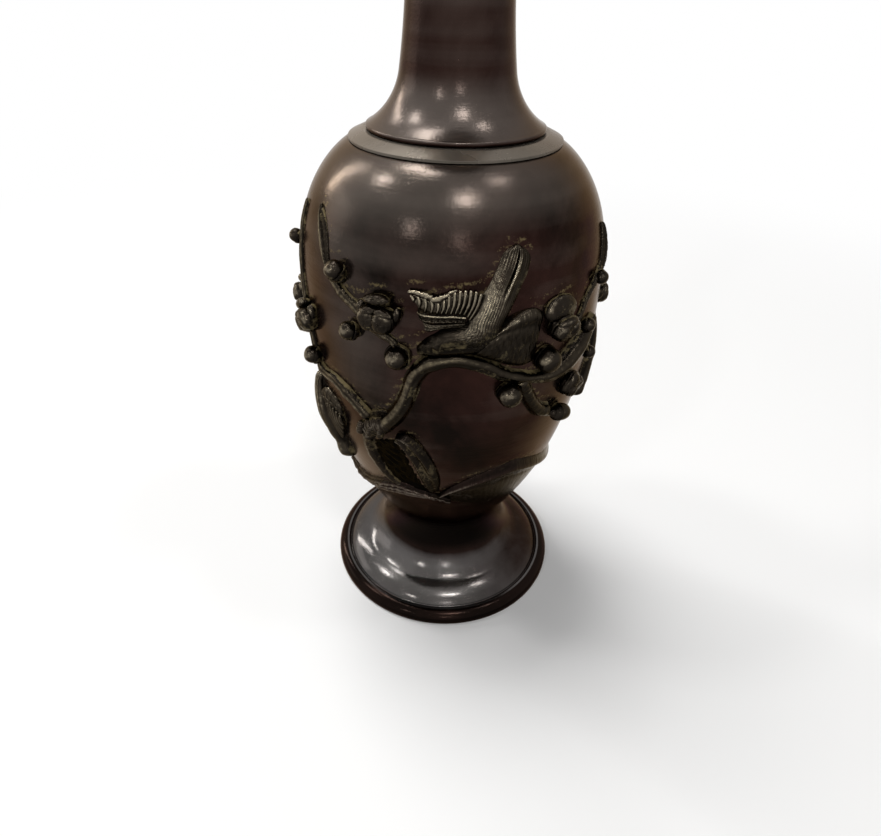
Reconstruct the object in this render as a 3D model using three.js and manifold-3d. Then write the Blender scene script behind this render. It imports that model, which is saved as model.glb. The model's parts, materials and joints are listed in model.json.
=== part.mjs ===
// Bronze bud vase: an ovoid body between a spreading foot and a tall trumpet neck, with a plum
// tree, two birds and low hills in relief round the body. The turned pieces are separate castings
// that seat in one another on short spigots. Each relief casting lies on the wall of the body and
// is held by a peg in a blind seat. Millimetres, +Z up, the origin under the middle of the foot.
import * as THREE from 'three';
import { mergeVertices } from 'three/addons/utils/BufferGeometryUtils.js';
import Module from 'manifold-3d';

const wasm = await Module();
wasm.setup();
const { Manifold, Mesh } = wasm;

// Driving dimensions of the turned castings
const footHeight = 35.7;
const footRadius = 51;
const rimHeight = 5.9;
const rimWidth = 4.7;
const rimUndercut = 0.6;
const grooveWidth = 1.4;
const grooveDepth = 0.9;
const domeRadius = 37;
const domeHeight = 11;
const footWall = 3.4;
const footRingWidth = 7.4;
const waistRadius = 25;
const bodyHeight = 153;
const bellyHeight = 101;
const bellyRadius = 54.5;
const bowlFullness = 0.78;
const shoulderRoundness = 3;
const shoulderDrop = 0.8;
const seatRadius = 35.2;
const bodyWall = 3;
const floorThickness = 4;
const coreHoleRadius = 15;
const floorDiscRadius = 18;
const floorDiscThickness = 2.2;
const tenonRadius = 21;
const tenonLength = 5;
const basePlateThickness = 2.1;
const basePlateRecess = 0.6;
const collarEdge = 0.8;
const collarHeight = 2.7;
const collarTopRadius = 30.6;
const collarSpigotRadius = 28.4;
const collarSpigotLength = 4.3;
const neckHeight = 107.7;
const neckFootRadius = 29.5;
const neckBeadHeight = 1.5;
const neckFlareHeight = 17;
const neckFlareRadius = 18.4;
const neckThroatRadius = 16;
const neckThroatHeight = 50;
const mouthRadius = 34.5;
const lipThickness = 3.4;
const neckWall = 2.8;
const neckSpigotRadius = 23.7;
const neckSpigotLength = 5;

// Driving dimensions of the relief castings
const trunkRadius = 3.4;
const mainBranchRadius = 2.7;
const sideBranchRadius = 2.1;
const twigRadius = 1.2;
const forkRadius = 3.3;
const leafHeight = 1.7;
const budRadius = 3.3;
const smallBudRadius = 2.3;
const blossomRadius = 6.5;
const smallBlossomRadius = 5.4;
const hillThickness = 2;
const birdHeight = 5.6;
const birdWidth = 6.6;
const wingThickness = 2.4;
const featherStep = 0.7;
const pegRadius = 0.9;
const pegLength = 1.6;
const pegRoot = 0.8;
const plateRoot = 1.5;
const limbRiseShare = 0.3;

// Clearances: what touches keeps the seam, and a peg has room in its seat
const seam = 0.3;
const pegClearance = 0.3;

// Fineness of the turned surfaces and of the relief
const turnSteps = 36;
const pegSides = 6;
const limbSides = 6;
const outerRings = [8, 6];
const innerRings = [5, 4];

const bodyBase = footHeight + seam;
const bodyTop = bodyBase + bodyHeight;
const collarBase = bodyTop + seam;
const neckBase = collarBase + collarHeight + seam;
const up = new THREE.Vector3(0, 0, 1);

// A three.js geometry as a solid: shared vertices joined, empty triangles dropped, faces outward
function solidOf(geometry) {
  const bare = geometry.clone();
  bare.deleteAttribute('normal');
  bare.deleteAttribute('uv');
  const merged = mergeVertices(bare, 1e-4);
  const vertProperties = new Float32Array(merged.attributes.position.array);
  const corners = merged.index.array;
  const kept = [];
  let volume = 0;
  const [a, b, c] = [new THREE.Vector3(), new THREE.Vector3(), new THREE.Vector3()];
  for (let i = 0; i < corners.length; i += 3) {
    const [p, q, r] = corners.subarray(i, i + 3);
    if (p === q || q === r || r === p) continue;
    kept.push(p, q, r);
    a.fromArray(vertProperties, 3 * p);
    b.fromArray(vertProperties, 3 * q);
    c.fromArray(vertProperties, 3 * r);
    volume += a.dot(b.cross(c));
  }
  if (volume < 0) {
    for (let i = 0; i < kept.length; i += 3) [kept[i], kept[i + 1]] = [kept[i + 1], kept[i]];
  }
  return new Manifold(new Mesh({ numProp: 3, vertProperties, triVerts: new Uint32Array(kept) }));
}

function geometryOf(solid) {
  const mesh = solid.getMesh();
  const geometry = new THREE.BufferGeometry();
  geometry.setAttribute('position', new THREE.BufferAttribute(mesh.vertProperties, 3));
  geometry.setIndex(new THREE.BufferAttribute(mesh.triVerts, 1));
  geometry.computeVertexNormals();
  return geometry;
}

// The largest piece of a solid, without the crumbs that a cut leaves beside it
function largest(solid) {
  const pieces = solid.decompose();
  return pieces.reduce((best, piece) => (piece.volume() > best.volume() ? piece : best));
}

// A turned solid from a closed outline of [radius, height] pairs
function turned(outline) {
  const points = outline.map(([r, z]) => new THREE.Vector2(Math.max(r, 0), z));
  if (points[0].x > 0 || points[points.length - 1].x > 0) points.push(points[0].clone());
  const lathe = new THREE.LatheGeometry(points, turnSteps);
  lathe.rotateX(Math.PI / 2);
  return solidOf(lathe);
}

// An outline moved inward by a wall's thickness, along its own normals
function inset(outline, wall) {
  return outline.map(([r, z], i) => {
    const [r0, z0] = outline[Math.max(i - 1, 0)];
    const [r1, z1] = outline[Math.min(i + 1, outline.length - 1)];
    const length = Math.hypot(r1 - r0, z1 - z0);
    return [r - (wall * (z1 - z0)) / length, z + (wall * (r1 - r0)) / length];
  });
}

const lerp = THREE.MathUtils.lerp;
const pairs = (curve, steps) => curve.getPoints(steps).map((p) => [p.x, p.y]);
const point = (r, z) => new THREE.Vector2(r, z);

// The body swells from the waist as a quarter sine, and closes to its seat in a rounded shoulder
function bodyRadiusAt(z) {
  const rise = z - bodyBase;
  if (rise <= bellyHeight) {
    const share = Math.max(rise, 0) / bellyHeight;
    return lerp(waistRadius, bellyRadius, Math.sin((Math.PI / 2) * share ** bowlFullness));
  }
  const share = Math.min((rise - bellyHeight) / (bodyHeight - bellyHeight), 1);
  return lerp(seatRadius, bellyRadius, (1 - share ** shoulderRoundness) ** shoulderDrop);
}

function bodyOutline(bowlRings, shoulderRings) {
  const heights = [];
  for (let i = 0; i < bowlRings; i += 1) {
    heights.push(bodyBase + bellyHeight * (i / bowlRings) ** 1.3);
  }
  for (let i = 0; i <= shoulderRings; i += 1) {
    const share = Math.sin(((Math.PI / 2) * i) / shoulderRings);
    heights.push(bodyBase + lerp(bellyHeight, bodyHeight, share));
  }
  return heights.map((z) => [bodyRadiusAt(z), z]);
}

// The foot spreads from the waist in a hollow curve, swells to the groove and ends in a round rim
function footOutline() {
  const rimCentre = footRadius - rimWidth;
  const grooveRadius = rimCentre - grooveWidth;
  const hollow = new THREE.CubicBezierCurve(
    point(waistRadius, footHeight),
    point(waistRadius - 1, lerp(domeHeight, footHeight, 0.45)),
    point(lerp(waistRadius, domeRadius, 0.5), domeHeight + 1.7),
    point(domeRadius, domeHeight),
  );
  const swell = new THREE.QuadraticBezierCurve(
    point(domeRadius, domeHeight),
    point(lerp(domeRadius, grooveRadius, 0.7), lerp(rimHeight, domeHeight, 0.65)),
    point(grooveRadius, rimHeight),
  );
  const groove = [[rimCentre - grooveWidth / 2, rimHeight - grooveDepth]];
  const rim = [];
  for (let i = 0; i <= 4; i += 1) {
    const angle = (Math.PI / 2) * (i / 4);
    const lowest = rimHeight * 0.3;
    rim.push([rimCentre + rimWidth * Math.sin(angle), lerp(lowest, rimHeight, Math.cos(angle))]);
  }
  const under = [[footRadius - rimUndercut, 0]];
  return [...pairs(hollow, 7), ...pairs(swell, 3).slice(1), ...groove, ...rim, ...under];
}

function makeFoot() {
  const outside = footOutline();
  const plateRadius = footRadius - rimUndercut - footRingWidth;
  const shelf = basePlateRecess + basePlateThickness + seam;
  const socketRadius = tenonRadius + seam;
  const socketFloor = footHeight - tenonLength;
  const boreRadius = coreHoleRadius;
  const inside = inset(pairs(new THREE.CubicBezierCurve(
    point(domeRadius, domeHeight),
    point(lerp(waistRadius, domeRadius, 0.5), domeHeight + 1.7),
    point(waistRadius - 1, lerp(domeHeight, footHeight, 0.45)),
    point(waistRadius, footHeight),
  ), 5), footWall).filter(([r, z]) => z > shelf && z < socketFloor - footWall && r > boreRadius);
  return turned([
    ...outside,
    [plateRadius, 0],
    [plateRadius, shelf],
    [plateRadius - footWall, shelf],
    ...inside,
    [boreRadius, socketFloor - footWall],
    [boreRadius, socketFloor],
    [socketRadius, socketFloor],
    [socketRadius, footHeight],
  ]);
}

function makeBasePlate() {
  const radius = footRadius - rimUndercut - footRingWidth - seam;
  const top = basePlateRecess + basePlateThickness;
  return turned([[0, basePlateRecess], [radius, basePlateRecess], [radius, top], [0, top]]);
}

// The body is open at the top for the collar, and at the bottom where its core was held
function makeBody() {
  const outside = bodyOutline(...outerRings);
  const floorTop = bodyBase + floorThickness;
  const ledge = bodyTop - bodyWall;
  const mouth = collarSpigotRadius + seam;
  const inside = inset(bodyOutline(...innerRings), bodyWall)
    .filter(([r, z]) => z > floorTop && z < ledge && r > mouth - bodyWall)
    .reverse();
  const discFloor = floorTop - floorDiscThickness - seam;
  return turned([
    ...outside,
    [mouth, bodyTop],
    [mouth, ledge],
    ...inside,
    [floorDiscRadius + seam, floorTop],
    [floorDiscRadius + seam, discFloor],
    [coreHoleRadius, discFloor],
    [coreHoleRadius, bodyBase - tenonLength + seam],
    [tenonRadius, bodyBase - tenonLength + seam],
    [tenonRadius, bodyBase],
  ]);
}

function makeFloorDisc() {
  const top = bodyBase + floorThickness;
  const bottom = top - floorDiscThickness;
  return turned([[0, bottom], [floorDiscRadius, bottom], [floorDiscRadius, top], [0, top]]);
}

function makeCollar() {
  const bore = neckSpigotRadius + seam;
  const top = collarBase + collarHeight;
  return turned([
    [seatRadius, collarBase],
    [seatRadius, collarBase + collarEdge],
    [lerp(seatRadius, collarTopRadius, 0.5), lerp(collarBase + collarEdge, top, 0.62)],
    [collarTopRadius, top],
    [bore, top],
    [bore, collarBase - collarSpigotLength],
    [collarSpigotRadius, collarBase - collarSpigotLength],
    [collarSpigotRadius, collarBase],
  ]);
}

// The neck rises from a bead, sweeps in to a narrow throat and opens in a trumpet mouth
function neckOutline() {
  const top = neckBase + neckHeight;
  const beadTop = neckBase + neckBeadHeight;
  const sweep = new THREE.CubicBezierCurve(
    point(neckFootRadius - 0.6, beadTop),
    point(lerp(neckFlareRadius, neckFootRadius, 0.42), beadTop + neckFlareHeight * 0.2),
    point(neckFlareRadius + 0.8, beadTop + neckFlareHeight * 0.55),
    point(neckFlareRadius, neckBase + neckFlareHeight),
  );
  const throat = new THREE.QuadraticBezierCurve(
    point(neckFlareRadius, neckBase + neckFlareHeight),
    point(neckThroatRadius, lerp(neckBase + neckFlareHeight, neckBase + neckThroatHeight, 0.5)),
    point(neckThroatRadius, neckBase + neckThroatHeight),
  );
  const trumpet = new THREE.CubicBezierCurve(
    point(neckThroatRadius, neckBase + neckThroatHeight),
    point(neckThroatRadius, lerp(neckBase + neckThroatHeight, top, 0.45)),
    point(lerp(neckThroatRadius, mouthRadius, 0.35), lerp(neckBase + neckThroatHeight, top, 0.85)),
    point(mouthRadius, top - lipThickness / 2),
  );
  const bead = [
    [neckFootRadius - 0.5, neckBase],
    [neckFootRadius, neckBase + neckBeadHeight * 0.35],
    [neckFootRadius - 0.1, neckBase + neckBeadHeight * 0.75],
  ];
  return [...bead, ...pairs(sweep, 6), ...pairs(throat, 2).slice(1), ...pairs(trumpet, 7).slice(1)];
}

function makeNeck() {
  const outside = neckOutline();
  const top = neckBase + neckHeight;
  const bore = neckSpigotRadius - neckWall;
  const spigotEnd = neckBase - neckSpigotLength;
  const lip = [
    [mouthRadius - lipThickness * 0.2, top],
    [mouthRadius - lipThickness * 0.8, top],
  ];
  const inside = inset(outside, neckWall)
    .filter(([r, z]) => z > neckBase + neckBeadHeight && z < top - lipThickness * 0.7)
    .filter((_, i) => i % 2 === 0)
    .map(([r, z]) => [z < neckBase + neckFlareHeight ? Math.min(r, bore) : r, z])
    .reverse();
  return turned([
    ...outside,
    ...lip,
    ...inside,
    [bore, spigotEnd],
    [neckSpigotRadius, spigotEnd],
    [neckSpigotRadius, neckBase],
  ]);
}

// A place on the wall of the body: degrees round from the front, towards +X, the share of the
// body's height, and how far out it stands, with the wall's own directions there
function onWall(degrees, share, lift = 0) {
  const z = bodyBase + bodyHeight * share;
  const step = 0.5;
  const slope = (bodyRadiusAt(z + step) - bodyRadiusAt(z - step)) / (2 * step);
  const angle = THREE.MathUtils.degToRad(degrees);
  const outward = new THREE.Vector3(Math.sin(angle), -Math.cos(angle), 0);
  const across = new THREE.Vector3(Math.cos(angle), Math.sin(angle), 0);
  const out = outward.clone().addScaledVector(up, -slope).normalize();
  const along = new THREE.Vector3().crossVectors(out, across);
  const place = outward.multiplyScalar(bodyRadiusAt(z)).addScaledVector(up, z);
  return { place: place.addScaledVector(out, lift), out, across, along };
}

// A closed skin over rows of points: each row is a ring, and the first and last rows are capped
function skin(rings) {
  const sides = rings[0].length;
  const corners = rings.flat();
  const index = [];
  for (let i = 0; i + 1 < rings.length; i += 1) {
    for (let j = 0; j < sides; j += 1) {
      const [a, b] = [i * sides + j, i * sides + ((j + 1) % sides)];
      index.push(a, b, a + sides, b, b + sides, a + sides);
    }
  }
  const caps = [[0, 1], [(rings.length - 1) * sides, -1]];
  for (const [first, turn] of caps) {
    const middle = new THREE.Vector3();
    for (let j = 0; j < sides; j += 1) middle.addScaledVector(corners[first + j], 1 / sides);
    corners.push(middle);
    for (let j = 0; j < sides; j += 1) {
      const [a, b] = [first + j, first + ((j + 1) % sides)];
      index.push(...(turn > 0 ? [b, a, corners.length - 1] : [a, b, corners.length - 1]));
    }
  }
  const geometry = new THREE.BufferGeometry();
  geometry.setAttribute('position', new THREE.Float32BufferAttribute(
    corners.flatMap((corner) => corner.toArray()),
    3,
  ));
  geometry.setIndex(index);
  return solidOf(geometry);
}

// A value from a list, read at a share of its length
function read(list, share) {
  const at = share * (list.length - 1);
  const i = Math.min(Math.floor(at), list.length - 2);
  return lerp(list[i], list[i + 1], at - i);
}

// A limb lies along the wall through its stations [degrees, share of height, extra lift], an
// oval of the given half widths and half heights that change along it, half sunk in the wall
function limb(stations, widths, heights, steps, grow = 0, sides = limbSides) {
  const curve = new THREE.CatmullRomCurve3(stations.map(([degrees, share, extra = 0]) => (
    new THREE.Vector3(degrees, share * bodyHeight, extra)
  )));
  const spot = (share) => {
    const here = curve.getPoint(Math.min(Math.max(share, 0), 1));
    return onWall(here.x, here.y / bodyHeight, here.z + limbRiseShare * read(heights, share));
  };
  const rings = [];
  for (let i = 0; i <= steps; i += 1) {
    const share = i / steps;
    const wall = spot(share);
    const course = spot(Math.min(share + 0.01, 1)).place
      .sub(spot(Math.max(share - 0.01, 0)).place).normalize();
    const side = new THREE.Vector3().crossVectors(course, wall.out).normalize();
    const end = i === 0 ? -grow : grow;
    if (i === 0 || i === steps) wall.place.addScaledVector(course, end);
    const [wide, high] = [read(widths, share) + grow, read(heights, share) + grow];
    rings.push(Array.from({ length: sides }, (_, j) => {
      const angle = (2 * Math.PI * j) / sides;
      return wall.place.clone()
        .addScaledVector(side, wide * Math.cos(angle))
        .addScaledVector(wall.out, high * Math.sin(angle));
    }));
  }
  return skin(rings);
}

// An edge through its stations [degrees, share of height], read at a share of the way along
function edge(stations) {
  const curve = new THREE.SplineCurve(stations.map(([degrees, share]) => point(degrees, share)));
  return (share) => curve.getPoint(share).toArray();
}

// A plate on the wall between two edges: each column is at a share of the way along them, and
// its face stands out by the height that rise gives. Growing it moves its face and sides out.
function plate(lower, upper, columns, rows, rise, grow = 0) {
  const rings = [];
  const middles = [];
  for (let i = 0; i <= columns; i += 1) {
    const share = i / columns;
    const [low, high] = [lower(share), upper(share)];
    const [first, last] = [onWall(...low).place, onWall(...high).place];
    const spread = grow / first.distanceTo(last);
    const face = [];
    const back = [];
    for (let j = 0; j <= rows; j += 1) {
      const across = j / rows;
      const at = lerp(-spread, 1 + spread, across);
      const [degrees, height] = [lerp(low[0], high[0], at), lerp(low[1], high[1], at)];
      face.push(onWall(degrees, height, rise(share, across) + grow).place);
      back.push(onWall(degrees, height, -plateRoot).place);
    }
    rings.push([...face, ...back.reverse()]);
    middles.push(first.lerp(last, 0.5));
  }
  for (const [end, beside] of [[0, 1], [columns, columns - 1]]) {
    const course = middles[end].clone().sub(middles[beside]).setLength(grow);
    for (const corner of rings[end]) corner.add(course);
  }
  return skin(rings);
}

// How full a rounded section is across its width: 1 in the middle, falling to a low edge
const dome = (across) => 0.3 + 0.7 * Math.sqrt(1 - Math.abs(2 * across - 1) ** 2.2);

// A small turned form set on the wall: its axis leans from the wall by the given share, towards
// a direction in degrees anticlockwise from across
function standing(outline, degrees, share, lift, towards, lean, lobes = null, steps = 10) {
  const wall = onWall(degrees, share, lift);
  const turn = THREE.MathUtils.degToRad(towards);
  const course = wall.across.clone().multiplyScalar(Math.cos(turn))
    .addScaledVector(wall.along, Math.sin(turn));
  const axis = wall.out.clone().multiplyScalar(1 - lean).addScaledVector(course, lean).normalize();
  const side = new THREE.Vector3().crossVectors(axis, course).normalize();
  if (side.lengthSq() < 0.5) side.copy(wall.across);
  const third = new THREE.Vector3().crossVectors(axis, side);
  const lathe = new THREE.LatheGeometry(outline.map(([r, z]) => new THREE.Vector2(r, z)), steps);
  const position = lathe.attributes.position;
  const corner = new THREE.Vector3();
  for (let i = 0; i < position.count; i += 1) {
    corner.fromBufferAttribute(position, i);
    const factor = lobes ? lobes(Math.atan2(corner.x, corner.z)) : 1;
    const spot = wall.place.clone()
      .addScaledVector(side, corner.x * factor)
      .addScaledVector(third, corner.z * factor)
      .addScaledVector(axis, corner.y);
    position.setXYZ(i, spot.x, spot.y, spot.z);
  }
  return solidOf(lathe);
}

// A plum blossom: five round petals in a shallow cup with a boss of stamens
function blossom(degrees, share, radius, grow = 0) {
  const size = radius + grow;
  const petals = (angle) => 0.86 + 0.16 * Math.abs(Math.cos(2.5 * angle)) ** 0.7;
  const outline = [
    [0, -0.5 * size - grow],
    [0.75 * size, -0.4 * size],
    [size, 0.12 * size],
    [0.9 * size, 0.34 * size + grow],
    [0.55 * size, 0.24 * size + grow],
    [0.3 * size, 0.46 * size + grow],
    [0, 0.56 * size + grow],
  ];
  return standing(outline, degrees, share, radius * 0.3, 90, 0.12, petals, 15);
}

// A bud: a ball that comes to a blunt point, in a cup of sepals towards its stalk
function bud(degrees, share, radius, towards, lean, grow = 0) {
  const size = radius + grow;
  const outline = [
    [0, -1.25 * size],
    [0.62 * size, -0.95 * size],
    [0.95 * size, -0.35 * size],
    [0.98 * size, 0.25 * size],
    [0.68 * size, 0.85 * size],
    [0, 1.2 * size],
  ];
  return standing(outline, degrees, share, radius * 0.7, towards, lean, null, 8);
}

const join = (...solids) => solids.reduce((whole, solid) => whole.add(solid));

// Branches: stations as [degrees, share of the body's height], and half widths along them.
// A leaf is a pointed plate at the end, between its two edges.
const branches = {
  branch_main: {
    path: [[-24, 0.462], [-16.8, 0.515], [-13.4, 0.565], [-11, 0.61], [-6, 0.645], [3, 0.656],
      [12.2, 0.639], [18.1, 0.616], [24.5, 0.6], [31, 0.59], [37, 0.585], [43.5, 0.594],
      [49.5, 0.618], [55, 0.643], [63, 0.672]],
    radii: [mainBranchRadius, mainBranchRadius, mainBranchRadius, sideBranchRadius, forkRadius,
      twigRadius],
    pegs: [[-13.4, 0.565], [12.2, 0.639], [49.5, 0.618]],
  },
  branch_left_low: {
    path: [[-34.5, 0.487], [-39, 0.507], [-46, 0.527], [-56, 0.53], [-61, 0.58], [-65.5, 0.68],
      [-70, 0.8], [-73, 0.89]],
    radii: [sideBranchRadius, sideBranchRadius, twigRadius, twigRadius],
    pegs: [[-46, 0.527]],
  },
  branch_left_high: {
    path: [[-18, 0.68], [-24, 0.7], [-32.6, 0.74], [-37.6, 0.757], [-41.4, 0.775], [-46, 0.802]],
    radii: [twigRadius, sideBranchRadius * 0.8, twigRadius],
    pegs: [[-32.6, 0.74]],
    leaf: [
      [[-46.4, 0.79], [-50, 0.816], [-53, 0.841], [-57.2, 0.898]],
      [[-44.6, 0.797], [-45.9, 0.823], [-47.9, 0.859], [-55.4, 0.903]],
    ],
  },
  branch_right: {
    path: [[50, 0.684], [51.6, 0.705], [55, 0.735], [60, 0.757], [64.5, 0.778]],
    radii: [twigRadius, twigRadius],
    pegs: [[68.6, 0.795]],
    leaf: [
      [[62, 0.772], [65.6, 0.79], [68.4, 0.82], [71, 0.86]],
      [[64.5, 0.758], [70, 0.777], [73.5, 0.812], [72.8, 0.857]],
    ],
  },
  twig_front: {
    path: [[26, 0.58], [28.3, 0.556], [31.4, 0.524], [36, 0.493], [40.5, 0.478]],
    radii: [sideBranchRadius, sideBranchRadius],
    pegs: [],
  },
  branch_back_low: {
    path: [[66, 0.44], [76, 0.5], [90, 0.575], [106, 0.61], [122, 0.6], [138, 0.555]],
    radii: [mainBranchRadius, twigRadius],
    pegs: [[76, 0.5], [106, 0.61]],
  },
  branch_back_high: {
    path: [[-92, 0.53], [-108, 0.585], [-124, 0.67], [-142, 0.705], [-160, 0.69], [-176, 0.725]],
    radii: [mainBranchRadius, twigRadius],
    pegs: [[-108, 0.585], [-142, 0.705]],
  },
};

function branch({ path, radii, leaf }, grow) {
  const rod = limb(path, radii, radii, Math.round(1.2 * path.length), grow);
  if (!leaf) return rod;
  const rise = (share, across) => leafHeight * dome(across) * (1 - 0.4 * share);
  return rod.add(plate(edge(leaf[1]), edge(leaf[0]), 4, 2, rise, grow));
}

// Blossoms: degrees, share of height, radius
const blossoms = {
  blossom_left: [-23, 0.738, blossomRadius],
  blossom_left_edge: [-61, 0.648, smallBlossomRadius],
  blossom_right: [39.2, 0.722, smallBlossomRadius],
  blossom_right_low: [50.2, 0.532, smallBlossomRadius],
  blossom_back_right: [93, 0.655, blossomRadius],
  blossom_back: [178, 0.66, blossomRadius],
  blossom_back_left: [-91, 0.63, blossomRadius],
};

// Buds: degrees, share of height, radius, the way that they point, and how far they lean
const buds = {
  bud_left_top: [-40, 0.801, smallBudRadius, 115, 0.7],
  bud_left_mid: [-16.4, 0.652, budRadius, 80, 0.15],
  bud_left_small: [-34, 0.688, smallBudRadius, 140, 0.6],
  bud_left_lower: [-58.5, 0.562, smallBudRadius, 150, 0.6],
  bud_left_edge: [-74, 0.815, smallBudRadius, 150, 0.6],
  bud_front_under: [20.8, 0.562, budRadius, -90, 0.6],
  bud_front_above: [34.4, 0.636, budRadius, 100, 0.4],
  bud_bean: [47.2, 0.46, budRadius, -12, 0.8],
  bud_right_upper: [55, 0.678, smallBudRadius, 0, 0.5],
  bud_right_lower: [64, 0.576, smallBudRadius, 10, 0.5],
  bud_right_top: [61.8, 0.79, smallBudRadius, 110, 0.5],
  bud_back_low: [108, 0.56, smallBudRadius, -90, 0.75],
  bud_back_mid: [122, 0.655, budRadius, 100, 0.7],
  bud_back_end: [143, 0.535, budRadius, -30, 0.75],
  bud_back_high: [-126, 0.725, budRadius, 90, 0.7],
  bud_back_under: [-142, 0.655, smallBudRadius, -90, 0.75],
};

// The old trunk has split open: a thin side on the left and a broad lip of bark on the right
// stand round a low floor, under a knot with three broken stubs
const trunkPegs = [[-33.4, 0.37], [-9.8, 0.355]];
const stubPlaces = [[-33, 0.43], [-28.8, 0.434], [-25, 0.436]];

function trunk(grow) {
  const left = limb(
    [[-33, 0.41], [-33.8, 0.37], [-32.6, 0.325], [-29.6, 0.285], [-25.8, 0.255], [-21, 0.236],
      [-15, 0.23]],
    [trunkRadius * 0.65, trunkRadius * 0.6, trunkRadius * 0.35],
    [trunkRadius * 0.55, trunkRadius * 0.5, trunkRadius * 0.25],
    9,
    grow,
  );
  const lip = plate(
    edge([[-20.5, 0.418], [-18.4, 0.407], [-16.2, 0.382], [-13.6, 0.343], [-11.5, 0.3],
      [-9.3, 0.258], [-6.6, 0.232]]),
    edge([[-19, 0.44], [-15.2, 0.441], [-11, 0.424], [-6.9, 0.385], [-3.8, 0.34], [-1.9, 0.29],
      [-2.4, 0.24]]),
    8,
    4,
    (share, across) => trunkRadius * (1 - 0.4 * share) * (
      0.62 + 0.2 * Math.cos(4 * Math.PI * (across - 0.25))
    ),
    grow,
  );
  const floor = plate(
    edge([[-31, 0.39], [-31, 0.35], [-29.5, 0.31], [-26.5, 0.277], [-21, 0.248], [-12, 0.236]]),
    edge([[-19.5, 0.42], [-16.5, 0.388], [-14, 0.345], [-12, 0.305], [-10, 0.268], [-7.5, 0.24]]),
    6,
    2,
    () => trunkRadius * 0.18,
    grow,
  );
  const knot = limb(
    [[-33.5, 0.412], [-30.5, 0.432], [-27.5, 0.448], [-24.5, 0.452]],
    [trunkRadius * 0.75, trunkRadius * 1.05, trunkRadius * 0.8],
    [trunkRadius * 0.6, trunkRadius * 0.9, trunkRadius * 0.7],
    6,
    grow,
    8,
  );
  const stubs = stubPlaces.map(([degrees, share]) => limb(
    [[degrees, share + 0.015, trunkRadius * 0.6], [degrees, share - 0.01, trunkRadius * 0.65]],
    [trunkRadius * 0.42, trunkRadius * 0.42],
    [trunkRadius * 0.42, trunkRadius * 0.42],
    2,
    grow,
  ));
  return join(left, lip, floor, knot, ...stubs);
}

// Hills: low banks round the foot of the tree, each between a lower and an upper edge, with a
// rolled lip along the upper one
const hills = {
  hill_left: {
    lower: [[-76, 0.14], [-62, 0.14], [-48, 0.152], [-28, 0.18], [-14, 0.194], [-4, 0.2]],
    upper: [[-76, 0.19], [-60, 0.182], [-45.3, 0.2], [-31.9, 0.238], [-24.5, 0.25], [-17.5, 0.25],
      [-10.5, 0.236], [-3.6, 0.222]],
  },
  hill_right: {
    lower: [[-3, 0.2], [6.4, 0.18], [19, 0.155], [33.3, 0.14], [46.4, 0.14], [62, 0.14],
      [84, 0.14]],
    upper: [[-3, 0.226], [9.2, 0.285], [23, 0.322], [37, 0.322], [47, 0.3], [58, 0.272],
      [70, 0.244], [84, 0.222]],
  },
  hill_back: {
    lower: [[84.6, 0.14], [184, 0.14], [283.4, 0.14]],
    upper: [[84.6, 0.22], [113, 0.27], [141.5, 0.24], [170, 0.29], [198, 0.31], [226, 0.262],
      [255, 0.222], [283.4, 0.19]],
  },
};

function hill({ lower, upper }, grow) {
  const [first, last] = [lower[0][0], lower[lower.length - 1][0]];
  return plate(
    edge(lower),
    edge(upper),
    Math.round((last - first) / 11),
    2,
    (share, across) => hillThickness * (0.3 + 0.7 * across ** 2),
    grow,
  );
}

// The front bird dives head down with its back to the viewer and its wings spread. Its body
// lies between a left and a right edge, from the tip of the tail to the beak.
const bird = {
  left: [[21, 0.881], [16.9, 0.868], [14.6, 0.845], [12.4, 0.818], [10.3, 0.797], [8.2, 0.772],
    [5.9, 0.75], [4.8, 0.737], [2, 0.73], [-1.5, 0.722], [-4.6, 0.7], [-6.8, 0.688],
    [-9.6, 0.67]],
  right: [[22.2, 0.881], [26.6, 0.86], [25.6, 0.828], [23.6, 0.806], [21.6, 0.782], [19.2, 0.758],
    [16.8, 0.733], [14.4, 0.705], [12, 0.678], [7.5, 0.672], [1.5, 0.669], [-4.2, 0.664],
    [-9.4, 0.662]],
  heights: [0.2, 0.3, 0.4, 0.7, 0.95, 0.9, 0.8, 0.65, 0.25],
  pegs: [[8, 0.715], [17.5, 0.806]],
};

function birdBody(grow) {
  const rise = (share, across) => birdHeight * read(bird.heights, share) * dome(across);
  return plate(edge(bird.right), edge(bird.left), 14, 4, rise, grow);
}

// A wing is a plate between two edges from its root to its tip, as full as its fullness says.
// Feathers step down along it, above a smooth band.
function wing({ lower, upper, feathers, fullness }, grow) {
  const rise = (share, across) => {
    const camber = fullness * wingThickness * (1 - 0.35 * share) * (1 - 0.35 * across);
    return camber - (across > 0.4 ? featherStep * ((share * feathers) % 1) : 0);
  };
  return plate(edge(lower), edge(upper), 2 * feathers, 2, rise, grow);
}

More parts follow.
